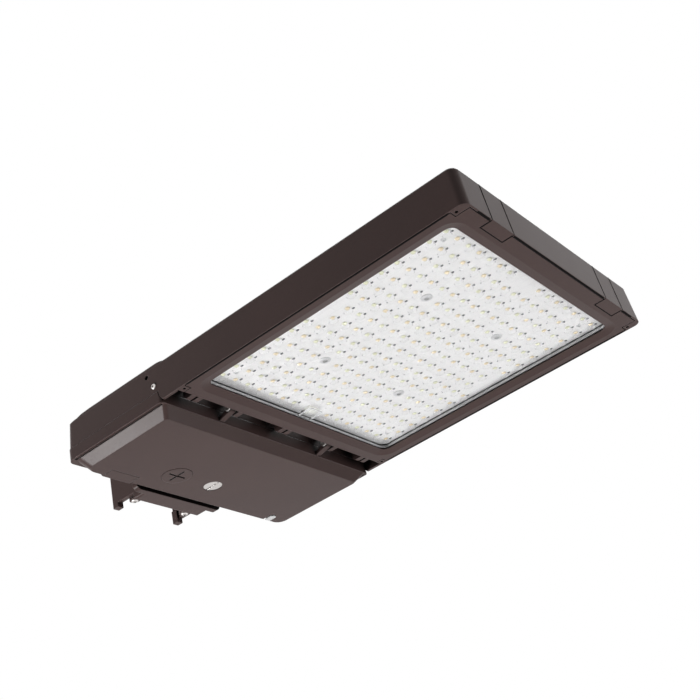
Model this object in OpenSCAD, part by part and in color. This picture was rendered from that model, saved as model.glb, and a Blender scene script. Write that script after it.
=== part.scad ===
// Shoebox area light: a flat die-cast head on a short pole arm.
// Drawn in millimetres. x runs from the pole out to the tip, y across, z up.
// Inside the modules z = 0 is the underside of the lens frame; at_pole() then
// puts the origin at the middle of the two pole bolts, on the pole's face.

/* [Head] */
// Width of the head, side to side
head_w = 330; // [326:1:360]
// Length of the driver box, rear wall to vent gap
box_len = 143; // [140:0.5:170]
// Width of the vent gap between driver box and LED tray
gap_len = 21.5; // [20:0.5:30]
// Length of the LED tray, vent gap to tip
tray_len = 350.5; // [347:0.5:380]
// Height of the driver box above the lens frame
box_h = 45.4; // [45:0.1:55]
// Height of the LED tray's rim above the lens frame
tray_h = 43; // [41:0.1:43.5]
// Thickness of the cast walls
wall = 3.5; // [3:0.1:4]
// Radius of the head's upright corners
corner_r = 8; // [7:0.5:10]
// How far the walls lean in from bottom to top
draft = 1.8; // [1:0.1:2.4]

/* [Heat sink] */
// Level of the LED board's seat above the lens frame
seat_z = 12; // [11:0.1:14]
// Thickness of the plate that carries the LED board
plate_t = 3; // [2.5:0.1:5]
// Distance from fin to fin
fin_pitch = 14; // [11:0.5:20]
// Thickness of a fin
fin_t = 2.5; // [1.5:0.1:4]
// How far the fins stay below the tray's rim
fin_drop = 3; // [1:0.5:8]

/* [Vent gap ribs] */
// Distance between the two ribs of a pair
rib_pair = 9; // [8:0.1:12]
// Thickness of a rib
rib_t = 6; // [5:0.1:6.2]
// Length of a rib's nose below the web
rib_nose = 13; // [12:0.1:14]
// Level above which a rib's web spans the whole gap
web_z = 22; // [18:0.5:26]
// Sideways place of the hinge rib pairs
hinge_y = 77; // [70:0.5:85]
// Sideways place of the outer rib pairs
outer_rib_y = 135; // [125:0.5:140]

/* [Lens and frame] */
// Width of the frame between the vent gap and the light opening
frame_rear = 22; // [21:0.5:24]
// Width of the head outside the light opening, at the tip
frame_tip = 28.5; // [27:0.5:32]
// Width of the head outside the light opening, on the long sides
frame_side = 21; // [20.5:0.5:24]
// Corner radius of the light opening
opening_r = 8; // [6:0.5:12]
// Thickness of the lens frame
frame_t = 3.4; // [3:0.1:4]
// How far the frame is dished at the light opening
frame_dish = 2.2; // [1:0.1:2.4]
// Width of the dished band round the light opening
dish_w = 10; // [6:0.5:11]
// Width of the housing's rim round the frame
rim_t = 2; // [1.6:0.1:2.5]
// Open seam between parts that fit into each other
seam = 0.6; // [0.4:0.05:0.8]
// Overlap of the lens behind the frame
lens_lap = 8; // [7:0.5:8.5]
// Thickness of the lens's flange
lens_t = 2.5; // [2:0.1:2.6]
// How far the lens's window lies above its flange's underside
lens_rise = 3; // [2.4:0.1:3.1]
// Thickness of the lens's walls and window
lens_skin = 1.8; // [1.4:0.1:1.9]
// Radius of the optic bump over an LED
optic_r = 4.5; // [3.8:0.1:5]
// Height of an optic bump
optic_h = 1.6; // [1:0.1:2]
// Thickness of the lens gasket
gasket_t = 2; // [1.5:0.1:2.5]
// Width of the lens gasket
gasket_w = 4.5; // [3:0.1:4.8]
// Open seam between the lens frame and the housing's rim
frame_gap = 1; // [0.6:0.1:1.4]
// Length of the corner lugs at the tip, along the head
lug_len = 15; // [12:0.5:18]
// Length of the corner lugs at the vent gap, along the head
rear_lug_len = 9; // [8:0.5:12]
// Width of the corner lugs, across the head
lug_w = 8; // [7:0.1:9]
// Radius of the screw holes in the corner lugs
lug_hole_r = 1.7; // [1.5:0.1:2]
// Sideways place of the two clips on the tip
clip_y = 104.7; // [95:0.1:115]
// Width of a clip
clip_w = 35; // [28:0.5:40]
// Thickness of a clip
clip_t = 2; // [1.6:0.1:2]
// Length of a clip's foot under the frame
clip_foot = 11.3; // [9:0.1:13]
// Distance from the tip's upper edge to the clip screws
clip_screw_in = 11; // [10:0.1:12]

/* [LED board] */
// Number of LEDs along the head
led_cols = 16; // [16:1:16]
// Number of LED rows across the head
led_rows = 16; // [16:1:16]
// Distance from the light opening's ends to the nearest LEDs
led_edge_x = 12; // [10:0.1:14]
// Distance from the light opening's sides to the nearest LEDs
led_edge_y = 11.2; // [10:0.1:14]
// Side of one LED package
led_size = 3.2; // [2.8:0.1:4]
// Height of one LED package
led_h = 0.8; // [0.6:0.1:1.2]
// Thickness of the LED board
board_t = 1.6; // [1:0.1:2]
// Thickness of the thermal pad behind the LED board
pad_t = 0.4; // [0.3:0.1:0.6]
// Head radius of the large board screws
board_screw_r = 6; // [5:0.1:6.5]

/* [Driver cover] */
// Level of the seam between housing and cover on the long sides
seam_z = 11.5; // [11:0.1:12]
// Drop of the cover's panel below the lens frame
panel_drop = 12.6; // [11:0.1:14]
// Thickness of the cover's panel and walls
cover_t = 2.8; // [2.4:0.1:3.2]
// Width of the cover's flat border along the sides
border_w = 5; // [4:0.5:7]
// Width of the sloped band between border and panel
slope_w = 9.5; // [7:0.5:11]
// Corner radius of the cover's front and panel
cover_r = 4; // [3.5:0.1:5]
// Corner radius of the cover's panel at the rear
panel_r = 11; // [6:0.5:13]
// Width of the notch in the cover's rear edge
notch_w = 38; // [30:0.5:45]
// Depth of the notch in the cover's rear edge
notch_d = 13.4; // [10:0.1:16]
// Sideways place of the notch
notch_y = -107.5; // [-115:0.5:-100]
// Width of the open slot in the cover's rear edge
slot_w = 11; // [9:0.5:14]
// Depth of the open slot
slot_d = 14.4; // [10:0.1:18]
// Distance from the cover's side to the middle of the open slot
slot_in = 39; // [35:0.1:50]
// Width of the nylon plug that sits in the slot
slot_plug_w = 8; // [6:0.5:8.5]
// Distance from the box's rear wall to the captive screw
screw_x = 46; // [42:0.5:50]
// Radius of the captive screw's head
screw_head_r = 10.4; // [9:0.1:11]
// Radius of the captive screw's shank
screw_r = 3; // [2.5:0.1:3.5]
// Sideways place of the sensor plug
plug_y = -54.6; // [-60:0.1:-45]
// Radius of the sensor plug's cap
plug_r = 16.8; // [14:0.1:17.5]

/* [Hinge] */
// Radius of the hinge pins
pin_r = 2.5; // [2:0.1:2.8]
// Radial running clearance of the hinge
pin_gap = 0.08; // [0.05:0.01:0.1]
// Level of the hinge axis above the lens frame
hinge_z = 6; // [5.5:0.1:6.5]
// Distance from the hinge axis to the LED tray
hinge_x = 7; // [6.8:0.1:7.4]
// Thickness of the cover's two hinge arms
hinge_arm_t = 6.5; // [5:0.1:6.6]
// Outer radius of the hinge knuckles
knuckle_r = 4.8; // [4.6:0.1:5.2]
// Distance from the pole to the screws under the arm
arm_lug_x = 23.5; // [22.5:0.1:24.5]

/* [Pole arm] */
// Distance from the pole's face to the driver box
arm_reach = 61.5; // [61:0.5:80]
// Width of the arm
arm_w = 100; // [96:1:108]
// Thickness of the arm's walls
arm_t = 6; // [5:0.5:7]
// Level of the arm's top
arm_top = 50; // [49:0.5:56]
// Level of the arm's underside next to the head
arm_bottom = -6.3; // [-8:0.1:-5]
// Width of the arm's flange at the head
flange_w = 130; // [128:1:144]
// Thickness of the arm's flange
flange_t = 7; // [6:0.5:9]
// Length of the arm's closed underside next to the head
strip_len = 21.5; // [19:0.5:26]
// Level of the pole bolts
bolt_z = 35; // [34:0.5:36]
// Distance between the two pole bolts
bolt_spacing = 60; // [54:1:62]
// Radius of the pole bolt holes
bolt_hole_r = 6.75; // [6:0.25:7]
// Radius of the wire holes
wire_hole_r = 9.5; // [9:0.5:10]

/* [Driver and wiring] */
// Length of the LED driver
driver_len = 160; // [140:1:164]
// Width of the LED driver
driver_w = 60; // [50:1:62]
// Height of the LED driver
driver_h = 30; // [26:0.5:32]
// Length of the surge protector
surge_len = 42; // [34:1:44]
// Width of the surge protector
surge_w = 36; // [28:1:38]
// Height of the surge protector
surge_h = 26; // [22:0.5:28]
// Distance from the middle of the switch bracket to the surge protector
surge_gap = 14; // [13:0.5:16]
// Distance from the box's side to the middle of the breather
vent_in = 65; // [62:0.5:68]
// Level of the breather's middle
vent_z = 25; // [23:0.5:27]
// Radius of the breather's hole
vent_r = 6; // [5:0.1:7]
// Length of the switch bracket
bracket_len = 48; // [44:0.5:50]
// Width of the switch bracket
bracket_w = 30; // [28:0.5:34]
// Travel of a slide switch, each way
switch_travel = 3; // [2:0.5:3.5]
// Radius of an insulated lead
lead_r = 1.1; // [0.8:0.1:1.3]

/* [Hidden] */
$fn = 48;
cut = 1;
play = 0.3;
half_w = head_w / 2;
box_x0 = arm_reach;
box_x1 = box_x0 + box_len;
tray_x0 = box_x1 + gap_len;
tray_x1 = tray_x0 + tray_len;
inner_half = half_w - wall - draft - 1.5;
cavity_x0 = box_x0 + wall + draft + 1.5;
cavity_x1 = box_x1 - wall;
roof_z = box_h - wall;
fin_z = seat_z + plate_t;
fin_top = tray_h - fin_drop;
trough_x1 = tray_x1 - wall - draft - clip_t;
frame_x0 = tray_x0 + seam;
frame_x1 = tray_x1 - rim_t - frame_gap;
frame_half = half_w - rim_t - frame_gap;
open_x0 = tray_x0 + frame_rear;
open_x1 = tray_x1 - frame_tip;
open_half = half_w - frame_side;
opening_len = open_x1 - open_x0;
open_mid = (open_x0 + open_x1) / 2;
lens_z = frame_t;
window_z = lens_z + lens_rise;
ledge_z = lens_z + lens_t + gasket_t;
board_z = seat_z - pad_t - board_t;
pocket_gap = 3;
side_x = box_x1 - wall;
border_z = -2.5;
panel_z = -panel_drop;
cover_top = seam_z - seam;
pivot_x = tray_x0 - hinge_x;
rear_in = 10.7;
screw_at = box_x0 + screw_x;
well_z = panel_z + 5;
pad_x = box_x0 - 3.7;
arm_x1 = pad_x - gasket_t;
duct_z = fin_z + 6;
duct_r = 4.5;
drop_x = open_x0 + 4;
bracket_x = cavity_x1 - bracket_len - 3.5;
bracket_y = inner_half - bracket_w - 10;
bracket_z = 14;
shield_x = [tray_x0 + 5, tray_x1 - rim_t - lug_len + 3.5];
shield_y = half_w - rim_t - lug_w / 2;
frame_screw_y = open_half + lens_lap + 2.6;

bronze = [0.33, 0.28, 0.27];
steel = [0.78, 0.78, 0.8];
black = [0.1, 0.1, 0.11];
white = [0.92, 0.92, 0.93];

// The two pole bolts carry everything, so the origin lies between them.
module at_pole() {
    translate([0, 0, -bolt_z]) children();
}

// Outline with four round corners, from x0 to x1 and half wide each side.
module round_rect(x0, x1, half, r) {
    translate([x0 + r, -half]) square([x1 - x0 - 2 * r, 2 * half]);
    translate([x0, -half + r]) square([x1 - x0, 2 * half - 2 * r]);
    for (x = [x0 + r, x1 - r], y = [-half + r, half - r])
        translate([x, y]) circle(r);
}

module slab(x0, x1, half, r, z0, z1) {
    translate([0, 0, z0]) linear_extrude(z1 - z0) round_rect(x0, x1, half, r);
}

// A flat ring: the slab less a margin all round.
module ring(x0, x1, half, r, margin, z0, z1) {
    difference() {
        slab(x0, x1, half, r, z0, z1);
        slab(x0 + margin, x1 - margin, half - margin, max(r - margin, 1), z0 - cut, z1 + cut);
    }
}

// A thin slice for the hulls that give a casting its draft and soft edges.
module slice(x0, x1, half, r, z) {
    translate([0, 0, z]) linear_extrude(0.02) round_rect(x0, x1, half, r, $fn = 32);
}

module block(x0, x1, y0, y1, z0, z1) {
    translate([x0, y0, z0]) cube([x1 - x0, y1 - y0, z1 - z0]);
}

// A plate standing along the head: a side outline in x and z, from y0 to y1.
module side_plate(y0, y1) {
    translate([0, y1, 0]) rotate([90, 0, 0]) linear_extrude(y1 - y0) children();
}

// A bar along x: an end outline in y and z, from x0 to x1.
module end_plate(x0, x1) {
    translate([x0, 0, 0]) rotate([90, 0, 90]) linear_extrude(x1 - x0) children();
}

module rod_x(x0, x1, y, z, r) {
    translate([x0, y, z]) rotate([0, 90, 0]) cylinder(r = r, h = x1 - x0);
}

module rod_y(x, y0, y1, z, r) {
    translate([x, y1, z]) rotate([90, 0, 0]) cylinder(r = r, h = y1 - y0);
}

module rod_z(x, y, z0, z1, r) {
    translate([x, y, z0]) cylinder(r = r, h = z1 - z0);
}

// A lead: straight runs through the points given, with a slightly larger ball in
// each bend.
module lead(points) {
    for (i = [0 : len(points) - 2]) {
        run = points[i + 1] - points[i];
        translate(points[i]) rotate([0, acos(run[2] / norm(run)), atan2(run[1], run[0])])
            cylinder(r = lead_r, h = norm(run), $fn = 16);
    }
    for (i = [1 : 1 : len(points) - 2]) translate(points[i]) sphere(1.15 * lead_r, $fn = 16);
}

// ---- Housing: driver box, vent gap and finned LED tray in one casting ----

module housing_outside() {
    hull() {
        slice(box_x0, tray_x1, half_w, corner_r, 0);
        slice(box_x0 + draft, tray_x1 - draft, half_w - draft, corner_r, tray_h - 2.2);
        slice(box_x0 + 6, tray_x1 - draft - 0.7, half_w - draft - 0.7, corner_r, tray_h - 0.7);
        slice(box_x0 + 14, tray_x1 - draft - 2, half_w - draft - 2, corner_r, tray_h - 0.02);
    }
    hull() {
        slice(box_x0 + draft, box_x1 + 12, half_w - draft, corner_r, tray_h - 6);
        slice(box_x0 + 4, box_x1 + 11, half_w - draft - 0.1, corner_r, box_h - 5);
        slice(box_x0 + 18, box_x1 + 8, half_w - draft - 0.3, corner_r, box_h - 1.8);
        slice(box_x0 + 30, box_x1 + 4, half_w - draft - 1, corner_r, box_h - 0.6);
        slice(box_x0 + 38, box_x1 + 1, half_w - draft - 2.4, corner_r, box_h - 0.02);
    }
}

// Side outline of the curve where the long walls come down past the cover.
function wall_curve(x) = [[x + 5.5, -cut], [x + 3.5, 1.5], [x + 1, 6], [x, seam_z]];

// A rib: a rounded nose below, a web across the whole gap above.
module rib_outline() {
    nose = tray_x0 - rib_nose;
    translate([nose + knuckle_r, hinge_z]) circle(knuckle_r);
    translate([nose, hinge_z]) square([rib_nose + 0.5, tray_h - 5 - hinge_z]);
    translate([nose + knuckle_r, hinge_z - knuckle_r])
        square([rib_nose - knuckle_r + 0.5, knuckle_r]);
    translate([box_x1 - 0.5, web_z]) square([gap_len + 1, tray_h - 5 - web_z]);
}

module rib(y) {
    side_plate(y - rib_t / 2, y + rib_t / 2) rib_outline();
}

module corner_lug(x0, x1, side) {
    y = half_w - rim_t - lug_w;
    if (side > 0) block(x0, x1, y, half_w, -2 * cut, lens_z + cut);
    else block(x0, x1, -half_w, -y, -2 * cut, lens_z + cut);
}

// Side outline of a clip on the drafted tip wall, folded over the top edge.
// The room cut for it reaches out past the wall.
module clip_outline(room) {
    top = tray_h - 0.6;
    out = tray_x1 + room;
    polygon([[tray_x1 - clip_t, -room], [out, -room], [out - draft, tray_h - 2.2],
        [out - draft - 0.7, top - 0.3], [out - draft - 2, top + room],
        [tray_x1 - draft - 16, top + room], [tray_x1 - draft - 16, top - clip_t],
        [tray_x1 - draft - clip_t - 0.6, top - clip_t],
        [tray_x1 - draft - clip_t, tray_h - 4.5]]);
}

module housing_cuts() {
    // room for the driver cover, between the long walls and behind them
    side_plate(-half_w - cut, half_w + cut)
        polygon(concat([[box_x0 - 8, seam_z], [box_x0 - 8, -cut]], wall_curve(side_x)));
    block(cavity_x1 - cut, tray_x0, -half_w + wall, half_w - wall, -cut, seam_z);
    // driver compartment, its roof following the rounded rear
    intersection() {
        slab(cavity_x0, cavity_x1, inner_half, corner_r, -cut, roof_z);
        side_plate(-half_w, half_w) polygon([[box_x0, -cut], [box_x0, box_h - 10],
            [cavity_x0, box_h - 8.5], [box_x0 + 19, roof_z - 2], [box_x0 + 34, roof_z],
            [box_x1, roof_z], [box_x1, -cut]]);
    }
    // vent gap, and the fin trough that opens into it
    block(box_x1, tray_x0, -inner_half, inner_half, -cut, box_h + cut);
    block(tray_x0 - cut, trough_x1, -inner_half, inner_half, fin_z, box_h + cut);
    // seat of the lens frame, round the four corner lugs
    difference() {
        block(tray_x0 - cut, tray_x1 - rim_t, -half_w + rim_t, half_w - rim_t, -cut, frame_t);
        for (side = [-1, 1]) {
            corner_lug(tray_x0, tray_x0 + rear_lug_len, side);
            corner_lug(tray_x1 - rim_t - lug_len, tray_x1, side);
        }
    }
    // seat of lens and gasket, and the pocket of the LED board
    slab(open_x0 - lens_lap - seam, open_x1 + lens_lap + seam, open_half + lens_lap + seam,
        opening_r, 0, ledge_z);
    slab(open_x0 - pocket_gap, open_x1 + pocket_gap, open_half + pocket_gap, opening_r,
        0, seat_z);
    for (side = [-1, 1]) {
        y = side * clip_y;
        side_plate(y - clip_w / 2 - 1.2, y + clip_w / 2 + 1.2) clip_outline(2);
    }
}

module wire_duct() {
    block(box_x1 - 0.5, drop_x + 8, -duct_r - 3, duct_r + 3, fin_z - 0.5, duct_z + 7);
}

module housing_bores() {
    rod_x(cavity_x1 - cut, drop_x + duct_r, 0, duct_z, duct_r);
    rod_z(drop_x, 0, seat_z - cut, duct_z, duct_r);
    for (x = shield_x, side = [-1, 1]) rod_z(x, side * shield_y, -cut, 9, lug_hole_r);
    for (side = [-1, 1]) {
        far = half_w - draft - 3;
        rod_y(box_x1 - 17.5, min(side * far, side * (half_w + cut)),
            max(side * far, side * (half_w + cut)), 34.4, 2.4);
        rod_y(box_x1 - 8.5, min(side * (far - 1), side * (half_w + cut)),
            max(side * (far - 1), side * (half_w + cut)), 19, 1.6);
        rod_z(tray_x1 - draft - clip_screw_in, side * clip_y, tray_h - 16, tray_h, 1.6);
        for (z = arm_bolt_z) rod_x(pad_x - cut, cavity_x0 + 7, side * arm_bolt_y, z, 3.5);
    }
    for (p = frame_screw_spots) rod_z(p[0], p[1], frame_t - cut, fin_z + cut, 1.6);
    for (p = board_screw_spots) rod_z(p[0], p[1], seat_z - cut, seat_z + 2, p[2] + 0.1);
    for (side = [-1, 1])
        rod_y(pivot_x, side * hinge_y + rib_pair / 2 - rib_t, side * hinge_y + rib_pair / 2 + 1,
            hinge_z, pin_r + 0.04);
    rod_z(screw_at, 0, cover_top - 9, cover_top + 10, screw_r + 0.8);
    rod_x(pad_x - cut, cavity_x0 + cut, 0, arm_wire_z, wire_hole_r);
    rod_x(box_x0 - cut, cavity_x0 + cut, half_w - vent_in, vent_z, vent_r);
}

module housing() color(bronze) at_pole() difference() {
    union() {
        difference() {
            housing_outside();
            housing_cuts();
        }
        for (i = [-10 : 10])
            if (abs(i) * fin_pitch < inner_half - fin_t)
                block(tray_x0 + 14, trough_x1 - 6, i * fin_pitch - fin_t / 2,
                    i * fin_pitch + fin_t / 2, fin_z - 0.5, fin_top);
        for (edge = [-1, 1]) {
            rib(edge * rib_pair / 2);
            for (side = [-1, 1]) rib(side * outer_rib_y + edge * rib_pair / 2);
        }
        for (side = [-1, 1]) rib(side * hinge_y + rib_pair / 2);
        wire_duct();
        // posts and pads inside and behind the driver box
        rod_z(screw_at, 0, cover_top - 7, roof_z + 0.5, 7);
        block(pad_x, cavity_x0 - 2, -flange_w / 2, flange_w / 2, seam_z + 1.5, tray_h - 5);
        for (side = [-1, 1], z = arm_bolt_z)
            rod_x(cavity_x0 - 1, cavity_x0 + 8, side * arm_bolt_y, z, 6.2);
        for (side = [-1, 1])
            block(trough_x1 - 9, trough_x1 + 1, side * clip_y - 9, side * clip_y + 9,
                fin_z - 0.5, tray_h - 0.6 - clip_t);
        rear_toe();
    }
    housing_bores();
}

// The toe that fills the notch in the cover's rear edge.
module rear_toe() {
    y0 = notch_y - notch_w / 2 + seam;
    y1 = notch_y + notch_w / 2 - seam;
    side_plate(y0, y1) polygon([[box_x0 + 0.5, seam_z + 1], [box_x0 + 0.5, border_z],
        [box_x0 + 8, panel_z], [box_x0 + rear_in + notch_d - seam, panel_z],
        [box_x0 + rear_in + notch_d - seam, panel_z + cover_t],
        [box_x0 + 9, panel_z + cover_t], [box_x0 + 3.5, border_z + 1],
        [box_x0 + 3.5, seam_z + 1]]);
}

// ---- Pole arm ----

arm_bolt_y = (arm_w + flange_w) / 4;
arm_bolt_z = [19, 32];
arm_wire_z = 25;

module yz_rect(half, z0, z1, r) {
    translate([-half + r, z0]) square([2 * half - 2 * r, z1 - z0]);
    translate([-half, z0 + r]) square([2 * half, z1 - z0 - 2 * r]);
    for (y = [-half + r, half - r], z = [z0 + r, z1 - r]) translate([y, z]) circle(r);
}

module pole_arm() color(bronze) at_pole() difference() {
    foot = 8;
    mouth_x1 = arm_x1 - strip_len;
    cheek = arm_w / 2 - arm_t;
    union() {
        difference() {
            end_plate(0, arm_x1) yz_rect(arm_w / 2, arm_bottom, arm_top, 3);
            end_plate(arm_t, arm_x1 - flange_t)
                yz_rect(cheek, arm_bottom + 4, arm_top - arm_t, 4);
            // open below, for a hand and a wrench on the pole bolts
            block(-cut, mouth_x1, -arm_w, arm_w, arm_bottom - cut, 1.5);
            block(-cut, mouth_x1, -cheek, cheek, 0, bolt_z - bolt_hole_r - 9);
        }
        end_plate(arm_x1 - flange_t, arm_x1) yz_rect(flange_w / 2, arm_bottom, arm_top, 7);
        for (side = [-1, 1]) {
            y = side * (arm_w / 2 - foot / 2);
            block(0, foot, y - foot / 2, y + foot / 2, -4, 12);
            rod_z(arm_lug_x, side * (cheek - 5.5), -1, 14, 6);
            block(arm_lug_x, mouth_x1 + 1, side * (cheek - 5.5) - 6, side * (cheek - 5.5) + 6, -1, 14);
        }
    }
    for (side = [-1, 1]) {
        rod_x(-cut, arm_t + cut, side * bolt_spacing / 2, bolt_z, bolt_hole_r);
        rod_z(arm_lug_x, side * (cheek - 5.5), -2, 11, 1.7);
        for (z = arm_bolt_z)
            rod_x(arm_x1 - flange_t - cut, arm_x1 + cut, side * arm_bolt_y, z, 4.2);
    }
    rod_x(-cut, arm_t + cut, 0, bolt_z, wire_hole_r - 2);
    rod_x(arm_x1 - flange_t - cut, arm_x1 + cut, 0, arm_wire_z, wire_hole_r);
}

module arm_gasket() color(black) at_pole() difference() {
    end_plate(arm_x1, pad_x) yz_rect(flange_w / 2 - 1, seam_z + 2, tray_h - 5.5, 5);
    for (side = [-1, 1], z = arm_bolt_z)
        rod_x(arm_x1 - cut, pad_x + cut, side * arm_bolt_y, z, 4.2);
    rod_x(arm_x1 - cut, pad_x + cut, 0, arm_wire_z, wire_hole_r);
}

module arm_bolts() color(steel) at_pole()
    for (side = [-1, 1], z = arm_bolt_z) {
        x = arm_x1 - flange_t;
        rod_x(x, cavity_x0 + 5, side * arm_bolt_y, z, 3.4);
        rod_x(x - 1.6, x, side * arm_bolt_y, z, 6.2);
        translate([x - 6.6, side * arm_bolt_y, z]) rotate([0, 90, 0])
            cylinder(r = 6.2, h = 5.1, $fn = 6);
    }

module arm_cover_screws() color(steel) at_pole()
    for (side = [-1, 1]) {
        y = side * (arm_w / 2 - arm_t - 5.5);
        rod_z(arm_lug_x, y, -3.2, -1, 4.2);
        rod_z(arm_lug_x, y, -1, 9, 1.6);
    }

// ---- Lens frame and clips ----

frame_screw_spots = concat(
    [for (side = [-1, 1], x = [0.08, 0.36, 0.64, 0.92])
        [open_x0 + x * opening_len, side * frame_screw_y]],
    [for (y = [-0.66, -0.22, 0.22, 0.66]) [tray_x0 + frame_rear / 2 - 2, y * open_half]]);

module lens_frame() color(bronze) at_pole() difference() {
    slab(frame_x0, frame_x1, frame_half, 1.5, 0, frame_t);
    slab(open_x0, open_x1, open_half, opening_r, -cut, frame_t + cut);
    // dished band: slopes up to the light opening
    hull() {
        slice(open_x0 - dish_w, open_x1 + dish_w, open_half + dish_w, opening_r + dish_w, -0.02);
        slice(open_x0, open_x1, open_half, opening_r, frame_dish);
    }
    for (side = [-1, 1]) {
        lug_y = half_w - rim_t - lug_w - frame_gap;
        for (x = [[tray_x0 - cut, tray_x0 + rear_lug_len + frame_gap],
                [tray_x1 - rim_t - lug_len - frame_gap, tray_x1]])
            block(x[0], x[1], side > 0 ? lug_y : -half_w, side > 0 ? half_w : -lug_y,
                -cut, frame_t + cut);
        y = side * clip_y;
        block(tray_x1 - clip_t - clip_foot - seam, tray_x1, y - clip_w / 2 - 1.2,
            y + clip_w / 2 + 1.2, -cut, clip_t);
    }
    for (p = frame_screw_spots) rod_z(p[0], p[1], 1.2, frame_t + cut, 1.6);
}

module frame_screws() color(steel) at_pole()
    for (p = frame_screw_spots) {
        rod_z(p[0], p[1], 1.3, fin_z, 1.5);
        rod_z(p[0], p[1], fin_z, fin_z + 2.2, 3);
    }

module frame_clips() color(bronze) at_pole()
    for (side = [-1, 1]) difference() {
        y = side * clip_y;
        union() {
            side_plate(y - clip_w / 2, y + clip_w / 2) clip_outline(0);
            block(tray_x1 - clip_t - clip_foot, tray_x1, y - clip_w / 2, y + clip_w / 2,
                0, clip_t);
        }
        rod_z(tray_x1 - draft - clip_screw_in, y, tray_h - 6, tray_h, 2);
    }

module clip_screws() color(steel) at_pole()
    for (side = [-1, 1]) {
        rod_z(tray_x1 - draft - clip_screw_in, side * clip_y, tray_h - 12, tray_h - 0.6, 1.5);
        rod_z(tray_x1 - draft - clip_screw_in, side * clip_y, tray_h - 0.6, tray_h + 1.4, 3.4);
    }

// ---- Optics and LED board ----

// Spots where a screw, the connector or a joint takes the place of an LED.
function led_here(i, j) =
    !((i == 0 || i == led_cols - 1) && (j == led_rows / 2 - 1 || j == led_rows / 2))
    && !((j == 0 || j == led_rows - 1) && (i == led_cols / 2 - 1 || i == led_cols / 2))
    && !((i == 4 || i == led_cols - 5) && (j == 4 || j == led_rows - 5));
function led_x(i) = open_x0 + led_edge_x + i * (opening_len - 2 * led_edge_x) / (led_cols - 1);
function led_y(j) = (open_half - led_edge_y) * (2 * j / (led_rows - 1) - 1);

// x, y and shank radius of each board screw: four large, four small
board_screw_spots = concat(
    [for (i = [4, led_cols - 5], j = [4, led_rows - 5]) [led_x(i), led_y(j), 2]],
    [for (i = [0.5, led_cols - 1.5], j = [0.5, led_rows - 1.5]) [led_x(i), led_y(j), 1.2]]);

// A clear tray: flange behind the frame, walls, and a window with an optic bump under
// each LED and a hollow boss under the connector.
module optic_lens() color([0.85, 0.9, 0.95, 0.4]) at_pole() difference() {
    union() {
        slab(open_x0 - lens_lap, open_x1 + lens_lap, open_half + lens_lap, opening_r - 1,
            lens_z, lens_z + lens_t);
        slab(open_x0 - lens_skin, open_x1 + lens_skin, open_half + lens_skin, opening_r,
            lens_z, window_z + lens_skin);
    }
    difference() {
        slab(open_x0, open_x1, open_half, opening_r, lens_z - cut, window_z);
        translate([0, 0, window_z - optic_h]) linear_extrude(optic_h + cut)
            for (i = [0 : led_cols - 1], j = [0 : led_rows - 1])
                if (led_here(i, j)) translate([led_x(i), led_y(j)]) circle(optic_r, $fn = 24);
        lens_boss(0, window_z - lens_rise + 0.4);
    }
    lens_boss(lens_skin, window_z - lens_rise + 0.4 + lens_skin);
}

module lens_boss(inset, z0) {
    block(open_x0 - 1, drop_x + 16 - inset, -10 + inset, 10 - inset, z0, window_z + 2 * lens_skin);
}

module lens_gasket() color(black) at_pole()
    ring(open_x0 - lens_lap, open_x1 + lens_lap, open_half + lens_lap, opening_r - 1,
        gasket_w, lens_z + lens_t, ledge_z);

module board_outline(z0, z1) {
    difference() {
        slab(open_x0 - pocket_gap + 0.5, open_x1 + pocket_gap - 0.5,
            open_half + pocket_gap - 0.5, opening_r - 1, z0, z1);
        for (p = board_screw_spots) rod_z(p[0], p[1], z0 - cut, z1 + cut, p[2] + 0.2);
        rod_z(drop_x, 0, z0 - cut, z1 + cut, duct_r);
    }
}

module led_board() color(white) at_pole() board_outline(board_z, board_z + board_t);

module thermal_pad() color([0.6, 0.62, 0.66]) at_pole() board_outline(seat_z - pad_t, seat_z);

module leds(parity) {
    for (i = [0 : led_cols - 1], j = [parity : 2 : led_rows - 1])
        if (led_here(i, j))
            block(led_x(i) - led_size / 2, led_x(i) + led_size / 2, led_y(j) - led_size / 2,
                led_y(j) + led_size / 2, board_z - led_h, board_z);
}

module cool_leds() color([0.95, 0.93, 0.45]) at_pole() leds(0);

module warm_leds() color([0.95, 0.65, 0.25]) at_pole() leds(1);

module board_screws() color(steel) at_pole()
    for (p = board_screw_spots) {
        rod_z(p[0], p[1], board_z - 0.5, seat_z + 1.8, p[2]);
        rod_z(p[0], p[1], board_z - 1.5, board_z, p[2] > 1.5 ? board_screw_r : 2.6);
    }

module board_connector() color(white) at_pole()
    block(drop_x + 5, drop_x + 13, -7, 7, board_z - 3.4, board_z);

// ---- Driver cover, its hinge and its gasket ----

// The sloped tray in the cover, from the border down to the panel.
module panel_body(inset, lift) {
    hull() {
        panel_slice(box_x0 + 4.7 + inset, box_x1 - 1 - inset, half_w - border_w - inset,
            border_z + lift);
        panel_slice(box_x0 + rear_in + inset, box_x1 - 1 - slope_w - inset,
            half_w - border_w - slope_w - inset, panel_z + lift);
    }
}

// One level of the tray: large corners at the rear, small ones at the vent gap.
module panel_slice(x0, x1, half, z) {
    slice(x0, x1 - panel_r, half, panel_r, z);
    slice(x0 + panel_r, x1, half, cover_r, z);
}

// The cover's border: larger corners at the rear, small ones at the vent gap.
module border_outline() {
    mid = (box_x0 + box_x1) / 2;
    round_rect(box_x0, mid + 2 * corner_r, half_w, corner_r);
    round_rect(mid, box_x1, half_w, cover_r);
}

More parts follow.
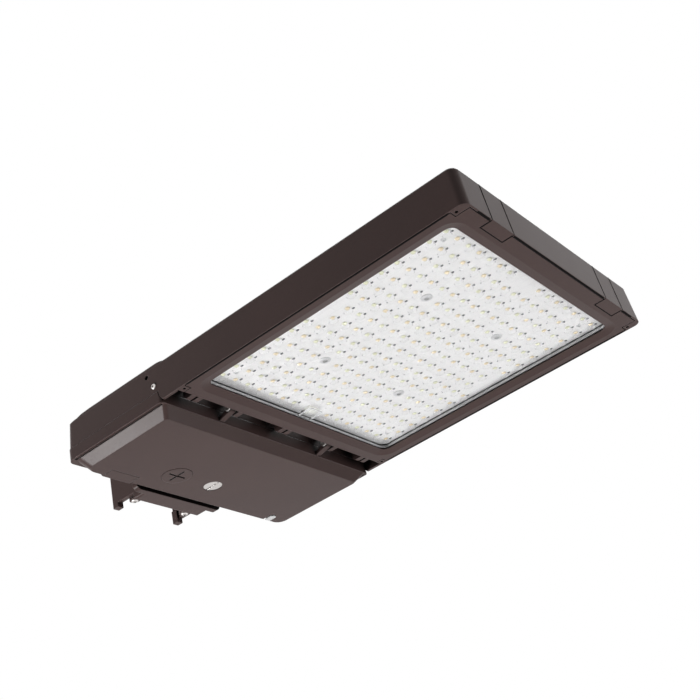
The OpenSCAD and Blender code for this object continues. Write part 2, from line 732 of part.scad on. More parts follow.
module cover_shell() {
    difference() {
        union() {
            translate([0, 0, border_z]) linear_extrude(cover_top - border_z) border_outline();
            panel_body(0, 0);
        }
        panel_body(cover_t, cover_t);
        slab(box_x0 + cover_t, box_x1 - cover_t, half_w - cover_t, corner_r - cover_t,
            border_z + cover_t, cover_top - 4);
        slab(cavity_x0, cavity_x1, inner_half, corner_r, border_z + cover_t, cover_top + cut);
        // the long walls of the LED tray pass in front of the corners
        for (side = [-1, 1]) {
            y = half_w - wall - seam;
            side_plate(side > 0 ? y : -half_w - cut, side > 0 ? half_w + cut : -y)
                polygon(concat(wall_curve(side_x - seam), [[side_x - seam, seam_z + cut],
                    [box_x1 + cut, seam_z + cut], [box_x1 + cut, -2 * cut],
                    [side_x + 5.5, -2 * cut]]));
        }
        // groove between the sloped tray and the lip along the sides
        for (side = [-1, 1]) {
            lip = half_w - 1.5;
            foot = half_w - border_w;
            end_plate(box_x0 + 9, box_x1 - 3.5)
                polygon([[side * lip, border_z - cut], [side * lip, border_z + 0.5],
                    [side * foot, border_z + 1.3], [side * foot, border_z - cut]]);
        }
        // groove of the gasket
        ring(cavity_x0 - 2.3, box_x1 - 1, inner_half + 2.2, corner_r, 2.2,
            cover_top - 1.2, cover_top + cut);
    }
}

module driver_cover() color(bronze) at_pole() difference() {
    union() {
        cover_shell();
        rod_z(screw_at, 0, panel_z, well_z + 2.5, screw_head_r + 3);
        for (side = [-1, 1]) {
            y = side * hinge_y - rib_pair / 2;
            rod_y(pivot_x, y - hinge_arm_t / 2, y + hinge_arm_t / 2, hinge_z, knuckle_r);
            side_plate(y - hinge_arm_t / 2, y + hinge_arm_t / 2)
                polygon([[box_x1 - cover_t, border_z + 1], [box_x1 + 2, border_z + 1],
                    [pivot_x, hinge_z - knuckle_r], [pivot_x, hinge_z],
                    [pivot_x - 5, hinge_z - 0.5], [box_x1 + 3, border_z + 5.5],
                    [box_x1 - cover_t, border_z + 5.5]]);
        }
        rod_z(screw_at, plug_y, panel_z, panel_z + 6, plug_r + 2.5);
    }
    for (side = [-1, 1])
        rod_y(pivot_x, side * hinge_y - rib_pair, side * hinge_y, hinge_z, pin_r + pin_gap);
    rod_z(screw_at, 0, panel_z - cut, well_z, screw_head_r + play);
    rod_z(screw_at, 0, well_z - cut, well_z + 2.5 + cut, screw_r + play);
    rod_z(screw_at, plug_y, panel_z - cut, panel_z + 3, plug_r + play);
    rod_z(screw_at, plug_y, panel_z, panel_z + 6 + cut, plug_r - 3 + play);
    block(box_x0 - cut, box_x0 + rear_in + notch_d, notch_y - notch_w / 2, notch_y + notch_w / 2,
        panel_z - cut, panel_z + cover_t + seam);
    block(box_x0 - cut, box_x0 + 10, notch_y - notch_w / 2, notch_y + notch_w / 2,
        panel_z - cut, border_z + 1.5);
    block(box_x0 - cut, box_x0 + 4.1, notch_y - notch_w / 2, notch_y + notch_w / 2,
        panel_z - cut, seam_z);
    block(box_x0 - cut, slot_mid, slot_y - slot_w / 2, slot_y + slot_w / 2, panel_z - cut,
        border_z - 1);
    rod_z(slot_mid, slot_y, panel_z - cut, border_z - 1, slot_w / 2);
}

// Centre of the slot's round end.
slot_mid = box_x0 + rear_in + slot_d - slot_w / 2;
slot_y = half_w - slot_in;

// A white nylon plug against the slot's outer wall: a thin tongue in line with the panel,
// a stem, and a lip over the panel's inner face.
module slot_plug() color(white) at_pole() {
    wall_y = slot_y + slot_w / 2 - 0.05;
    block(box_x0 + rear_in + 0.3, slot_mid, wall_y - slot_plug_w, wall_y, panel_z - 0.3,
        panel_z + 0.8);
    rod_z(slot_mid, wall_y - slot_plug_w / 2, panel_z - 0.3, panel_z + 0.8, slot_plug_w / 2);
    block(box_x0 + rear_in + 2, slot_mid, wall_y - 4, wall_y, panel_z + 0.3,
        panel_z + cover_t + 1.5);
    block(box_x0 + rear_in + 3, slot_mid, wall_y - 4, wall_y + 3, panel_z + cover_t + 0.05,
        panel_z + cover_t + 1.5);
}

module hinge_pins() color(steel) at_pole()
    for (side = [-1, 1]) {
        y = side * hinge_y - rib_pair / 2 - hinge_arm_t / 2;
        rod_y(pivot_x, y - play - 0.5, side * hinge_y + rib_pair / 2, hinge_z, pin_r);
        rod_y(pivot_x, y - play - 1.6, y - play, hinge_z, pin_r + 1.2);
    }

module cover_gasket() color(black) at_pole()
    ring(cavity_x0 - 2.2, box_x1 - 1.1, inner_half + 2.1, corner_r, 2,
        cover_top - 1.2, seam_z - 0.2);

module cover_screw() color(steel) at_pole() difference() {
    union() {
        rod_z(screw_at, 0, panel_z + 0.4, well_z - 0.2, screw_head_r);
        rod_z(screw_at, 0, well_z - cut, cover_top - 1, screw_r);
    }
    block(screw_at - screw_head_r - cut, screw_at + screw_head_r + cut, -0.8, 0.8,
        panel_z, panel_z + 2.2);
}

module screw_retainer() color(black) at_pole() difference() {
    rod_z(screw_at, 0, well_z + 2.8, well_z + 4, screw_r + 2.5);
    rod_z(screw_at, 0, well_z, well_z + 6, screw_r + 0.03);
}

module sensor_plug() color(bronze) at_pole() difference() {
    union() {
        rod_z(screw_at, plug_y, panel_z - 0.3, panel_z + 2.2, plug_r);
        rod_z(screw_at, plug_y, panel_z + 1, panel_z + 10, plug_r - 3);
    }
    rod_z(screw_at, plug_y, panel_z + 3.5, panel_z + 11, plug_r - 5.5);
    for (turn = [0, 90]) translate([screw_at, plug_y, panel_z - cut]) rotate([0, 0, turn])
        translate([-11.5, -1.25, 0]) cube([23, 2.5, cut + 1.2]);
}

module plug_seal() color(black) at_pole() difference() {
    rod_z(screw_at, plug_y, panel_z + 2.2, panel_z + 2.8, plug_r - 0.5);
    rod_z(screw_at, plug_y, panel_z, panel_z + 6, plug_r - 2.95);
}

// ---- Driver, wiring and switches ----

driver_x = cavity_x1 - 10 - driver_w;
driver_y = -inner_half + 6.2;
switch_w = 9;
switch_len = 22;
slider_w = 3;
driver_end = driver_y + driver_len - 10;
terminal_x = box_x0 + 36;
pole_y = [15, 29, 43];
colour_x = bracket_x + 14;
power_x = bracket_x + 34;

module led_driver() color([0.75, 0.76, 0.78]) at_pole() difference() {
    union() {
        block(driver_x, driver_x + driver_w, driver_y + 10, driver_y + driver_len - 10,
            roof_z - driver_h, roof_z);
        block(driver_x + 6, driver_x + driver_w - 6, driver_y, driver_y + driver_len,
            roof_z - 2.5, roof_z);
    }
    for (y = [driver_y + 5, driver_y + driver_len - 5], x = [16, driver_w - 16])
        rod_z(driver_x + x, y, roof_z - 4, roof_z + cut, 2.2);
}

module driver_screws() color(steel) at_pole()
    for (y = [driver_y + 5, driver_y + driver_len - 5], x = [16, driver_w - 16]) {
        rod_z(driver_x + x, y, roof_z - 3, roof_z, 2);
        rod_z(driver_x + x, y, roof_z - 5, roof_z - 2.5, 3.6);
    }

module surge_protector() color([0.2, 0.2, 0.22]) at_pole()
    slab_at(bracket_x, bracket_y - surge_w / 2 - surge_gap, surge_len, surge_w, 4,
        roof_z - surge_h, roof_z);

// A block with round corners whose centre is at x and y.
module slab_at(x, y, length, width, r, z0, z1) {
    translate([0, y, 0]) slab(x - length / 2, x + length / 2, width / 2, r, z0, z1);
}

module terminal_block() color(white) at_pole() difference() {
    block(terminal_x, terminal_x + 16, pole_y[0] - 7, pole_y[2] + 7, roof_z - 16, roof_z);
    for (y = pole_y) {
        rod_z(terminal_x + 8, y, roof_z - 17, roof_z - 10, 2.6);
        rod_x(terminal_x - 1, terminal_x + 3, y, roof_z - 8, lead_r + 0.4);
        rod_x(terminal_x + 13, terminal_x + 17, y, roof_z - 8, lead_r + 0.4);
    }
}

module switch_bracket() color(steel) at_pole() difference() {
    union() {
        block(bracket_x, bracket_x + bracket_len, bracket_y, bracket_y + bracket_w,
            bracket_z, bracket_z + 1.5);
        for (x = [bracket_x, bracket_x + bracket_len - 1.5])
            block(x, x + 1.5, bracket_y, bracket_y + bracket_w, bracket_z, roof_z);
    }
    for (x = [colour_x, power_x])
        block(x - slider_w / 2 - 0.5, x + slider_w / 2 + 0.5, switch_y - switch_travel - 3,
            switch_y + switch_travel + 3, bracket_z - cut, bracket_z + 2 * cut);
}

switch_y = bracket_y + bracket_w / 2;

module switch_body(x) {
    difference() {
        block(x - switch_w / 2, x + switch_w / 2, switch_y - switch_len / 2,
            switch_y + switch_len / 2, bracket_z + 1.5, bracket_z + 9);
        block(x - slider_w / 2 - 0.5, x + slider_w / 2 + 0.5, switch_y - switch_travel - 3,
            switch_y + switch_travel + 3, bracket_z, bracket_z + 5);
    }
}

module slider(x) {
    block(x - slider_w / 2, x + slider_w / 2, switch_y - 2.5, switch_y + 2.5,
        bracket_z - 2.5, bracket_z + 4.7);
}

module colour_switch() color(black) at_pole() switch_body(colour_x);
module colour_slider() color(white) at_pole() slider(colour_x);
module power_switch() color(black) at_pole() switch_body(power_x);
module power_slider() color(white) at_pole() slider(power_x);

module ground_screw() color([0.2, 0.55, 0.3]) at_pole() {
    rod_z(box_x0 + 42, -36, roof_z - 4, roof_z, 2);
    rod_z(box_x0 + 42, -36, roof_z - 6.5, roof_z - 3.5, 4.5);
}

module duct_grommet() color(black) at_pole() difference() {
    union() {
        rod_x(cavity_x1 - 1.5, cavity_x1, 0, duct_z, duct_r + 2.5);
        rod_x(cavity_x1 - 0.5, cavity_x1 + 8, 0, duct_z, duct_r - 0.05);
    }
    rod_x(cavity_x1 - 3, cavity_x1 + 9, 0, duct_z, duct_r - 1.5);
}

module arm_grommet() color(black) at_pole() difference() {
    union() {
        rod_x(arm_x1 - flange_t - 2, arm_x1 - flange_t, 0, arm_wire_z, wire_hole_r + 1.2);
        rod_x(arm_x1 - flange_t - 1, cavity_x0, 0, arm_wire_z, wire_hole_r - 0.05);
        rod_x(cavity_x0, cavity_x0 + 2, 0, arm_wire_z, wire_hole_r + 1.2);
    }
    rod_x(arm_x1 - flange_t - 3, cavity_x0 + 3, 0, arm_wire_z, 5);
}

module breather_vent() color(black) at_pole() {
    rod_x(box_x0 - 1, cavity_x0 + 4, half_w - vent_in, vent_z, vent_r - 0.05);
    rod_x(box_x0 - 3, box_x0 + 0.7, half_w - vent_in, vent_z, vent_r + 2.5);
}

module led_leads() color([0.75, 0.12, 0.1]) at_pole()
    for (s = [-1, 1])
        lead([[driver_x + driver_w / 2 + 3 * s, driver_end, duct_z + 4],
            [driver_x + driver_w / 2 + 3 * s, driver_end + 24 - 2 * s, duct_z + 4],
            [cavity_x1 - 6 - 1.5 * s, driver_end + 24 - 2 * s, duct_z],
            [cavity_x1 - 6 - 1.5 * s, -1.4 * s, duct_z],
            [drop_x - 0.5, -1.4 * s, duct_z],
            [drop_x - 0.5, -1.4 * s, board_z - 1.7],
            [drop_x + 5, -1.4 * s, board_z - 1.7]]);

module driver_leads() color([0.85, 0.85, 0.86]) at_pole() {
    lead([[terminal_x + 14, pole_y[0], roof_z - 8], [driver_x - 4, pole_y[0], roof_z - 8],
        [driver_x - 4, driver_end + 6, roof_z - 8], [driver_x + 6, driver_end + 6, roof_z - 8],
        [driver_x + 6, driver_end, roof_z - 8]]);
    lead([[terminal_x + 14, pole_y[2], roof_z - 8], [driver_x - 4, pole_y[2], roof_z - 12],
        [driver_x - 4, driver_end + 10, roof_z - 12],
        [driver_x + 12, driver_end + 10, roof_z - 12], [driver_x + 12, driver_end, roof_z - 12]]);
}

// Three leads come out of the pole, through the arm, to the terminal block.
module supply_leads() color([0.12, 0.12, 0.13]) at_pole()
    for (i = [0 : 2]) {
        y = 2.9 * sin(120 * i + 140);
        z = 2.9 * cos(120 * i + 140);
        x = cavity_x0 + 12 - 3 * i;
        drop = 12 + 4 * i;
        lead([[0, y, bolt_z + z], [drop, y, bolt_z + z], [drop, y, arm_wire_z + z],
            [x, y, arm_wire_z + z], [x, pole_y[i], roof_z - 8],
            [terminal_x + 2, pole_y[i], roof_z - 8]]);
    }

module side_screws() color(steel) at_pole()
    for (side = [-1, 1]) {
        a = half_w - draft - 4;
        b = half_w - 0.2;
        rod_y(box_x1 - 8.5, side > 0 ? a : -b, side > 0 ? b : -a, 19, 1.5);
        rod_y(box_x1 - 8.5, side > 0 ? b - 0.4 : -b - 1.4, side > 0 ? b + 1.4 : -b + 0.4, 19, 3);
    }

housing();
pole_arm();
arm_gasket();
arm_bolts();
arm_cover_screws();
lens_frame();
frame_screws();
frame_clips();
clip_screws();
optic_lens();
lens_gasket();
led_board();
thermal_pad();
cool_leds();
warm_leds();
board_screws();
board_connector();
side_screws();
hinge_pins();
cover_gasket();
driver_cover();
cover_screw();
screw_retainer();
sensor_plug();
plug_seal();
slot_plug();
led_driver();
driver_screws();
surge_protector();
terminal_block();
switch_bracket();
colour_switch();
colour_slider();
power_switch();
power_slider();
ground_screw();
duct_grommet();
arm_grommet();
breather_vent();
led_leads();
driver_leads();
supply_leads();
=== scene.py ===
import bpy
import numpy as np
from mathutils import Matrix, Vector


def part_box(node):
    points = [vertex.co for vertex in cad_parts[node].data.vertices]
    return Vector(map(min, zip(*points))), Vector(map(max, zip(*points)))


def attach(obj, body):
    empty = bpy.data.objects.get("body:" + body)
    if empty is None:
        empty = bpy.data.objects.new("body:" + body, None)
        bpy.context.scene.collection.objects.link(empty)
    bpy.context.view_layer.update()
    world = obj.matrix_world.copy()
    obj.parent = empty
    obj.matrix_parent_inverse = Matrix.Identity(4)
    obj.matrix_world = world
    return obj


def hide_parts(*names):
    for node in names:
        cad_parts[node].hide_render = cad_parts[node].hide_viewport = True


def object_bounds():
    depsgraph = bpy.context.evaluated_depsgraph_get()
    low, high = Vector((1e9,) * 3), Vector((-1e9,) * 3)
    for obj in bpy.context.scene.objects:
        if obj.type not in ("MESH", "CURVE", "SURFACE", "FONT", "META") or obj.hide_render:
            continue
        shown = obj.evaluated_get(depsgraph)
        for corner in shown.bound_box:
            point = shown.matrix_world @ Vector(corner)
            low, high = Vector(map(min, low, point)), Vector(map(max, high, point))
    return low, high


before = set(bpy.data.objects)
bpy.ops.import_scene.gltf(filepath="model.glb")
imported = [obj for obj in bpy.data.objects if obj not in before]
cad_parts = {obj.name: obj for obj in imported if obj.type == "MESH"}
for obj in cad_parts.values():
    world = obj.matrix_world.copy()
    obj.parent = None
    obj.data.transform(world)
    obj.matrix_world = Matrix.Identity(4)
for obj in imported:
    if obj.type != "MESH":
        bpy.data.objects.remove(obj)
cad_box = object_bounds()

# ---- Camera ----
# The photographer stands below and in front of the tip and looks up at the head. The
# place and turn come from the straight edges of the photographed light.
VIEW_PLACE = (0.90305, -0.90596, -0.62201)
VIEW_RIGHT = (0.7555207, 0.6231275, -0.2022390)
VIEW_DOWN = (-0.4638193, 0.2907588, -0.8368578)
VIEW_AHEAD = (-0.4626663, 0.7260658, 0.5086929)
LENS_MM = 60.887
SENSOR_MM = 36.0
NEAREST = 0.05
FARTHEST = 50

camera_data = bpy.data.cameras.new("camera")
camera_data.lens = LENS_MM
camera_data.sensor_width = SENSOR_MM
camera_data.clip_start = NEAREST
camera_data.clip_end = FARTHEST
camera = bpy.data.objects.new("camera", camera_data)
bpy.context.scene.collection.objects.link(camera)
view_turn = np.array([VIEW_RIGHT, -np.array(VIEW_DOWN), -np.array(VIEW_AHEAD)]).T
camera.matrix_world = Matrix.Translation(VIEW_PLACE) @ Matrix(view_turn.tolist()).to_4x4()
bpy.context.scene.camera = camera

# ---- Castings: housing, cover, arm, lens frame, clips and plug ----
# Die-cast aluminium with a dark bronze powder coat: low gloss, a fine orange peel, edges
# that are softly rounded with a pale painted highlight, and painted shade in seams and gaps.

# a grain is in repeats per metre, a radius, reach or height in metres, a range (from, to)
PEEL_GRAIN = 700.0
GRIT_GRAIN = 2600.0
CLOUD_GRAIN = 7.0
PATCH_GRAIN = 90.0
GRIT_SHARE = 0.35
CLOUD_SHARE = 0.7
PEEL_SHARE = 0.3
ROUGHNESS_SWING = 0.12
USUAL_NOISE = (0.3, 0.7)
EDGE_BEND = (0.985, 0.8)
COAT_DARK = (0.080, 0.049, 0.046)
COAT_LIGHT = (0.098, 0.061, 0.056)
COAT_EDGE_HIGHLIGHT = (0.28, 0.22, 0.21)
COAT_SHADE = (0.006, 0.005, 0.005)
COAT_ROUGHNESS = 0.3
COAT_SPECULAR = 0.12
COAT_EDGE_RADIUS = 0.0011
COAT_HIGHLIGHT_SHARE = 0.55
PEEL_HEIGHT = 0.00006
SEAM_REACH = 0.005
GAP_REACH = 0.05
CREVICE_RANGE = (0.3, 0.72)


def shader_group(name, inputs, outputs):
    """An empty node group whose inputs are (kind, name, value) and outputs (kind, name)."""
    group = bpy.data.node_groups.new(name, "ShaderNodeTree")
    for kind, label, value in inputs:
        socket = group.interface.new_socket(label, in_out="INPUT", socket_type=kind)
        socket.default_value = value
    for kind, label in outputs:
        group.interface.new_socket(label, in_out="OUTPUT", socket_type=kind)
    return group, group.nodes.new("NodeGroupInput"), group.nodes.new("NodeGroupOutput")


def math_node(tree, operation, first, second):
    """A Math node whose two inputs are sockets or numbers; gives its output socket."""
    node = tree.nodes.new("ShaderNodeMath")
    node.operation = operation
    for slot, value in zip(node.inputs, (first, second)):
        if isinstance(value, (int, float)):
            slot.default_value = value
        else:
            tree.links.new(value, slot)
    return node.outputs[0]


def object_place(tree):
    """The Object coordinates, which stay with the piece when it moves."""
    return tree.nodes.new("ShaderNodeTexCoord").outputs["Object"]


def noise(tree, vector, scale, detail=3.0, roughness=0.5):
    """A Noise Texture on the given coordinates; gives its Fac socket."""
    node = tree.nodes.new("ShaderNodeTexNoise")
    node.inputs["Scale"].default_value = scale
    node.inputs["Detail"].default_value = detail
    node.inputs["Roughness"].default_value = roughness
    tree.links.new(vector, node.inputs["Vector"])
    return node.outputs["Fac"]


def blend_colours(tree, mask, first, second):
    """A colour Mix node from the first colour to the second by the mask."""
    node = tree.nodes.new("ShaderNodeMix")
    node.data_type = "RGBA"
    tree.links.new(mask, node.inputs["Factor"])
    for slot, value in ((node.inputs["A"], first), (node.inputs["B"], second)):
        if isinstance(value, tuple):
            slot.default_value = (*value, 1)
        else:
            tree.links.new(value, slot)
    return node.outputs["Result"]


def remap(tree, value, low, high, to_low=0.0, to_high=1.0):
    """A clamped Map Range node, from low..high to to_low..to_high."""
    node = tree.nodes.new("ShaderNodeMapRange")
    tree.links.new(value, node.inputs["Value"])
    for label, number in (("From Min", low), ("From Max", high),
                          ("To Min", to_low), ("To Max", to_high)):
        node.inputs[label].default_value = number
    return node.outputs["Result"]


def make_edge_group():
    """Soft edges: the normal rounded over a radius, and a mask that is 1 along the edges,
    where the rounded normal leans away from the face's own, broken up by patches."""
    group, given, result = shader_group(
        "soft_edges", [("NodeSocketFloat", "Radius", 0.001)],
        [("NodeSocketVector", "Normal"), ("NodeSocketFloat", "Edge")])
    bevel = group.nodes.new("ShaderNodeBevel")
    bevel.samples = 6
    group.links.new(given.outputs["Radius"], bevel.inputs["Radius"])
    surface = group.nodes.new("ShaderNodeNewGeometry")
    likeness = group.nodes.new("ShaderNodeVectorMath")
    likeness.operation = "DOT_PRODUCT"
    group.links.new(bevel.outputs["Normal"], likeness.inputs[0])
    group.links.new(surface.outputs["Normal"], likeness.inputs[1])
    bend = remap(group, likeness.outputs["Value"], *EDGE_BEND)
    patches = noise(group, object_place(group), scale=PATCH_GRAIN, detail=4.0, roughness=0.6)
    pale_edge = math_node(group, "MULTIPLY", bend, remap(group, patches, 0.3, 0.65, 0.55, 1.0))
    group.links.new(bevel.outputs["Normal"], result.inputs["Normal"])
    group.links.new(pale_edge, result.inputs["Edge"])
    return group


def make_crevice_group():
    """Crevices: 1 on open faces and 0 deep in gaps and seams, from nearby surfaces: the mask
    for painted shade.
    """
    group, given, result = shader_group(
        "crevices", [("NodeSocketFloat", "Reach", 0.02)], [("NodeSocketFloat", "Open")])
    near = group.nodes.new("ShaderNodeAmbientOcclusion")
    near.samples = 8
    group.links.new(given.outputs["Reach"], near.inputs["Distance"])
    group.links.new(near.outputs["AO"], result.inputs["Open"])
    return group


def make_coat_group():
    """Powder coat: the height of its peel and grit, a tone that mixes wide clouds with the
    peel, and a roughness that swings with the clouds."""
    group, given, result = shader_group(
        "powder_coat",
        [("NodeSocketFloat", "Peel", PEEL_GRAIN), ("NodeSocketFloat", "Roughness", 0.45)],
        [("NodeSocketFloat", "Height"), ("NodeSocketFloat", "Tone"),
         ("NodeSocketFloat", "Roughness")])
    place = object_place(group)
    peel = noise(group, place, scale=PEEL_GRAIN, detail=2.0)
    group.links.new(given.outputs["Peel"], peel.node.inputs["Scale"])
    grit = noise(group, place, scale=GRIT_GRAIN, detail=1.0)
    cloud = noise(group, place, scale=CLOUD_GRAIN, detail=5.0, roughness=0.6)
    height = math_node(group, "ADD", peel, math_node(group, "MULTIPLY", grit, GRIT_SHARE))
    tone = math_node(group, "ADD", math_node(group, "MULTIPLY", cloud, CLOUD_SHARE),
                     math_node(group, "MULTIPLY", peel, PEEL_SHARE))
    swing = math_node(group, "MULTIPLY", math_node(group, "SUBTRACT", cloud, 0.5),
                      ROUGHNESS_SWING)
    rough = math_node(group, "ADD", given.outputs["Roughness"], swing)
    group.links.new(height, result.inputs["Height"])
    group.links.new(tone, result.inputs["Tone"])
    group.links.new(rough, result.inputs["Roughness"])
    return group


def place_group(tree, group, **values):
    """Puts a node group into a material and sets its inputs."""
    node = tree.nodes.new("ShaderNodeGroup")
    node.node_tree = group
    for label, value in values.items():
        node.inputs[label].default_value = value
    return node


def bump(tree, height, distance, normal=None):
    """A Bump node over the given height, on top of a normal if there is one."""
    node = tree.nodes.new("ShaderNodeBump")
    node.inputs["Distance"].default_value = distance
    tree.links.new(height, node.inputs["Height"])
    if normal is not None:
        tree.links.new(normal, node.inputs["Normal"])
    return node.outputs["Normal"]


def new_material(name):
    """A node material; gives it with its tree and its Principled shader."""
    material = bpy.data.materials.new(name)
    material.use_nodes = True
    tree = material.node_tree
    return material, tree, tree.nodes["Principled BSDF"]


def openness(tree, reach):
    """0 where the coat lies deep in a gap as wide as the reach, 1 where it lies open: the mask
    for the painted shade.
    """
    crevice = place_group(tree, crevices, Reach=reach)
    return remap(tree, crevice.outputs["Open"], *CREVICE_RANGE)


def coated_metal(name):
    """Powder-coated casting: two tones of the coat, a pale painted highlight on the edges, and
    painted shade in seams and gaps.
    """
    material, tree, shader = new_material(name)
    edges = place_group(tree, soft_edges, Radius=COAT_EDGE_RADIUS)
    coat = place_group(tree, powder_coat, Roughness=COAT_ROUGHNESS)
    tone = blend_colours(tree, remap(tree, coat.outputs["Tone"], *USUAL_NOISE),
                         COAT_DARK, COAT_LIGHT)
    # painted highlight: the edges are lightened towards a pale colour, broken up in patches
    pale_edge = math_node(tree, "MULTIPLY", edges.outputs["Edge"], COAT_HIGHLIGHT_SHARE)
    coloured = blend_colours(tree, pale_edge, tone, COAT_EDGE_HIGHLIGHT)
    # painted shade: the coat goes near black deep in seams and gaps, where nearby surfaces
    # close in
    shade = math_node(tree, "MULTIPLY", openness(tree, SEAM_REACH), openness(tree, GAP_REACH))
    tree.links.new(blend_colours(tree, shade, COAT_SHADE, coloured),
                   shader.inputs["Base Color"])
    tree.links.new(coat.outputs["Roughness"], shader.inputs["Roughness"])
    tree.links.new(bump(tree, coat.outputs["Height"], PEEL_HEIGHT, edges.outputs["Normal"]),
                   shader.inputs["Normal"])
    shader.inputs["Specular IOR Level"].default_value = COAT_SPECULAR
    return material


def dress(material, *nodes):
    """Gives CAD nodes their material."""
    for node in nodes:
        slots = bpy.data.objects[node].data.materials
        slots.clear()
        slots.append(material)


soft_edges = make_edge_group()
crevices = make_crevice_group()
powder_coat = make_coat_group()
dress(coated_metal("bronze_coat"), "housing", "driver_cover", "pole_arm", "lens_frame",
      "frame_clips", "sensor_plug")

# ---- Bright bolts, pins, cover screw and switch bracket ----
# Stainless and zinc-plated steel, turned or pressed: streaks and smudges in the gloss,
# fine scratches, softly broken edges and painted shade in the sockets and threads.
STEEL = (0.74, 0.70, 0.68)
SOCKET_SHADE = (0.05, 0.05, 0.05)
SCRATCH_DEPTH = 0.00002
STREAK_GRAIN = 1800.0
SMUDGE_GRAIN = 260.0
METAL_EDGE_RADIUS = 0.0003
SOCKET_SHADE_REACH = 0.002


def bare_metal(name, colour, roughness=0.3):
    """Bright metal: streaky roughness, fine scratches and softly broken edges."""
    material, tree, shader = new_material(name)
    edges = place_group(tree, soft_edges, Radius=METAL_EDGE_RADIUS)
    place = object_place(tree)
    streaks = noise(tree, place, scale=STREAK_GRAIN, detail=4.0, roughness=0.7)
    smudge = noise(tree, place, scale=SMUDGE_GRAIN, roughness=0.6)
    mixed = math_node(tree, "MULTIPLY", math_node(tree, "ADD", streaks, smudge), 0.5)
    tree.links.new(remap(tree, mixed, *USUAL_NOISE, roughness - 0.1, roughness + 0.12),
                   shader.inputs["Roughness"])
    darker = tuple(0.75 * part for part in colour)
    tone = blend_colours(tree, remap(tree, mixed, 0.35, 0.65), darker, colour)
    # painted shade: the colour goes near black deep in the sockets and threads
    open_face = place_group(tree, crevices, Reach=SOCKET_SHADE_REACH)
    unshaded = remap(tree, open_face.outputs["Open"], 0.1, 0.7)
    tree.links.new(blend_colours(tree, unshaded, SOCKET_SHADE, tone), shader.inputs["Base Color"])
    tree.links.new(bump(tree, streaks, SCRATCH_DEPTH, edges.outputs["Normal"]),
                   shader.inputs["Normal"])
    shader.inputs["Metallic"].default_value = 1.0
    return material


bright_steel = bare_metal("bright_steel", STEEL)
dress(bright_steel, "arm_bolts", "frame_screws", "hinge_pins", "cover_screw",
      "switch_bracket")

# ---- Screws of the arm's lugs ----
# Two pan-head steel screws with a hexagon socket, turned and cold-headed. They sit in the
# lugs on the arm's underside, and their heads face down.

# sizes are in millimetres where MM scales them, and in metres elsewhere
MM = 0.001
DOWN = (0, 0, -1)
SIDES = (-1, 1)
HEAD_SEGMENTS = 36
SHARP_ANGLE = 0.7
LUG_HEAD_RADIUS = 4.2
LUG_HEAD_HEIGHT = 2.2


def corners(node):
    """The lowest and the highest corner of a CAD node, in metres."""
    low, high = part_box(node)
    return np.array(low), np.array(high)


def circle(segments):
    """Angles round a circle, evenly spaced."""
    return 2 * np.pi * np.arange(segments) / segments


def lathe(profile, segments):
    """A turned form: each profile point (radius, height) is carried round the z axis, so
    ring i, step j lies at radius_i (cos a_j, sin a_j) and height_i. Gives points in rings."""
    angle = circle(segments)
    radius, height = np.array(profile, float).T
    around = np.stack([np.cos(angle), np.sin(angle), np.zeros(segments)], -1)
    return radius[:, None, None] * around + height[:, None, None] * np.array([0, 0, 1.0])


def socket_head(radius, height, socket, depth, shank, length):
    """A domed screw: shank up to the head, a dome as a quarter ellipse, then the walls of
    a hexagon socket, whose radius is socket / cos(angle within one sixth), and its floor.
    The head's face points to +z and its seat lies at z = 0."""
    dome = np.linspace(0.15, 1.25, 6)
    profile = [(0.2 * shank, -length), (shank, -length + 0.3 * shank), (shank, 0), (radius, 0)]
    profile += list(zip(radius * np.cos(dome), 0.2 * height + 0.8 * height * np.sin(dome)))
    top = profile[-1][1]
    angle = circle(HEAD_SEGMENTS)
    sixth = np.abs((angle % (np.pi / 3)) - np.pi / 6)
    hexagon = socket * np.cos(np.pi / 6) / np.cos(np.pi / 6 - sixth)
    walls = [np.stack([reach * np.cos(angle), reach * np.sin(angle),
                       np.full(HEAD_SEGMENTS, level)], -1)
             for reach, level in ((hexagon, top), (hexagon, top - depth),
                                  (0.2 * socket, top - depth))]
    return np.concatenate([lathe(profile, HEAD_SEGMENTS), walls])


def ring_faces(rings, segments):
    """Faces of a closed form made of rings: four-sided between rings, and an end cap on
    the first and the last ring, all pointing outwards when the rings run upwards."""
    ring, step = np.meshgrid(np.arange(rings - 1), np.arange(segments), indexing="ij")
    here = ring * segments + step
    beside = ring * segments + (step + 1) % segments
    walls = np.stack([here, beside, beside + segments, here + segments], -1).reshape(-1, 4)
    first = np.arange(segments)[::-1]
    last = (rings - 1) * segments + np.arange(segments)
    return walls, np.stack([first, last])


def repeat_faces(rings, segments, count):
    """The faces of a ring form, repeated for forms that follow each other in the mesh."""
    skip = rings * segments * np.arange(count)[:, None, None]
    walls, caps = ring_faces(rings, segments)
    return [(walls[None] + skip).reshape(-1, 4), (caps[None] + skip).reshape(-1, segments)]


def copies(points, places, up):
    """The same points at many places, turned so that their x stays along x and their z
    runs along up."""
    up = np.array(up, float)
    across = np.array((1.0, 0.0, 0.0))
    turned = points.reshape(-1, 3) @ np.stack([across, np.cross(up, across), up])
    return (np.array(places, float)[:, None] + turned[None]).reshape(-1, 3)


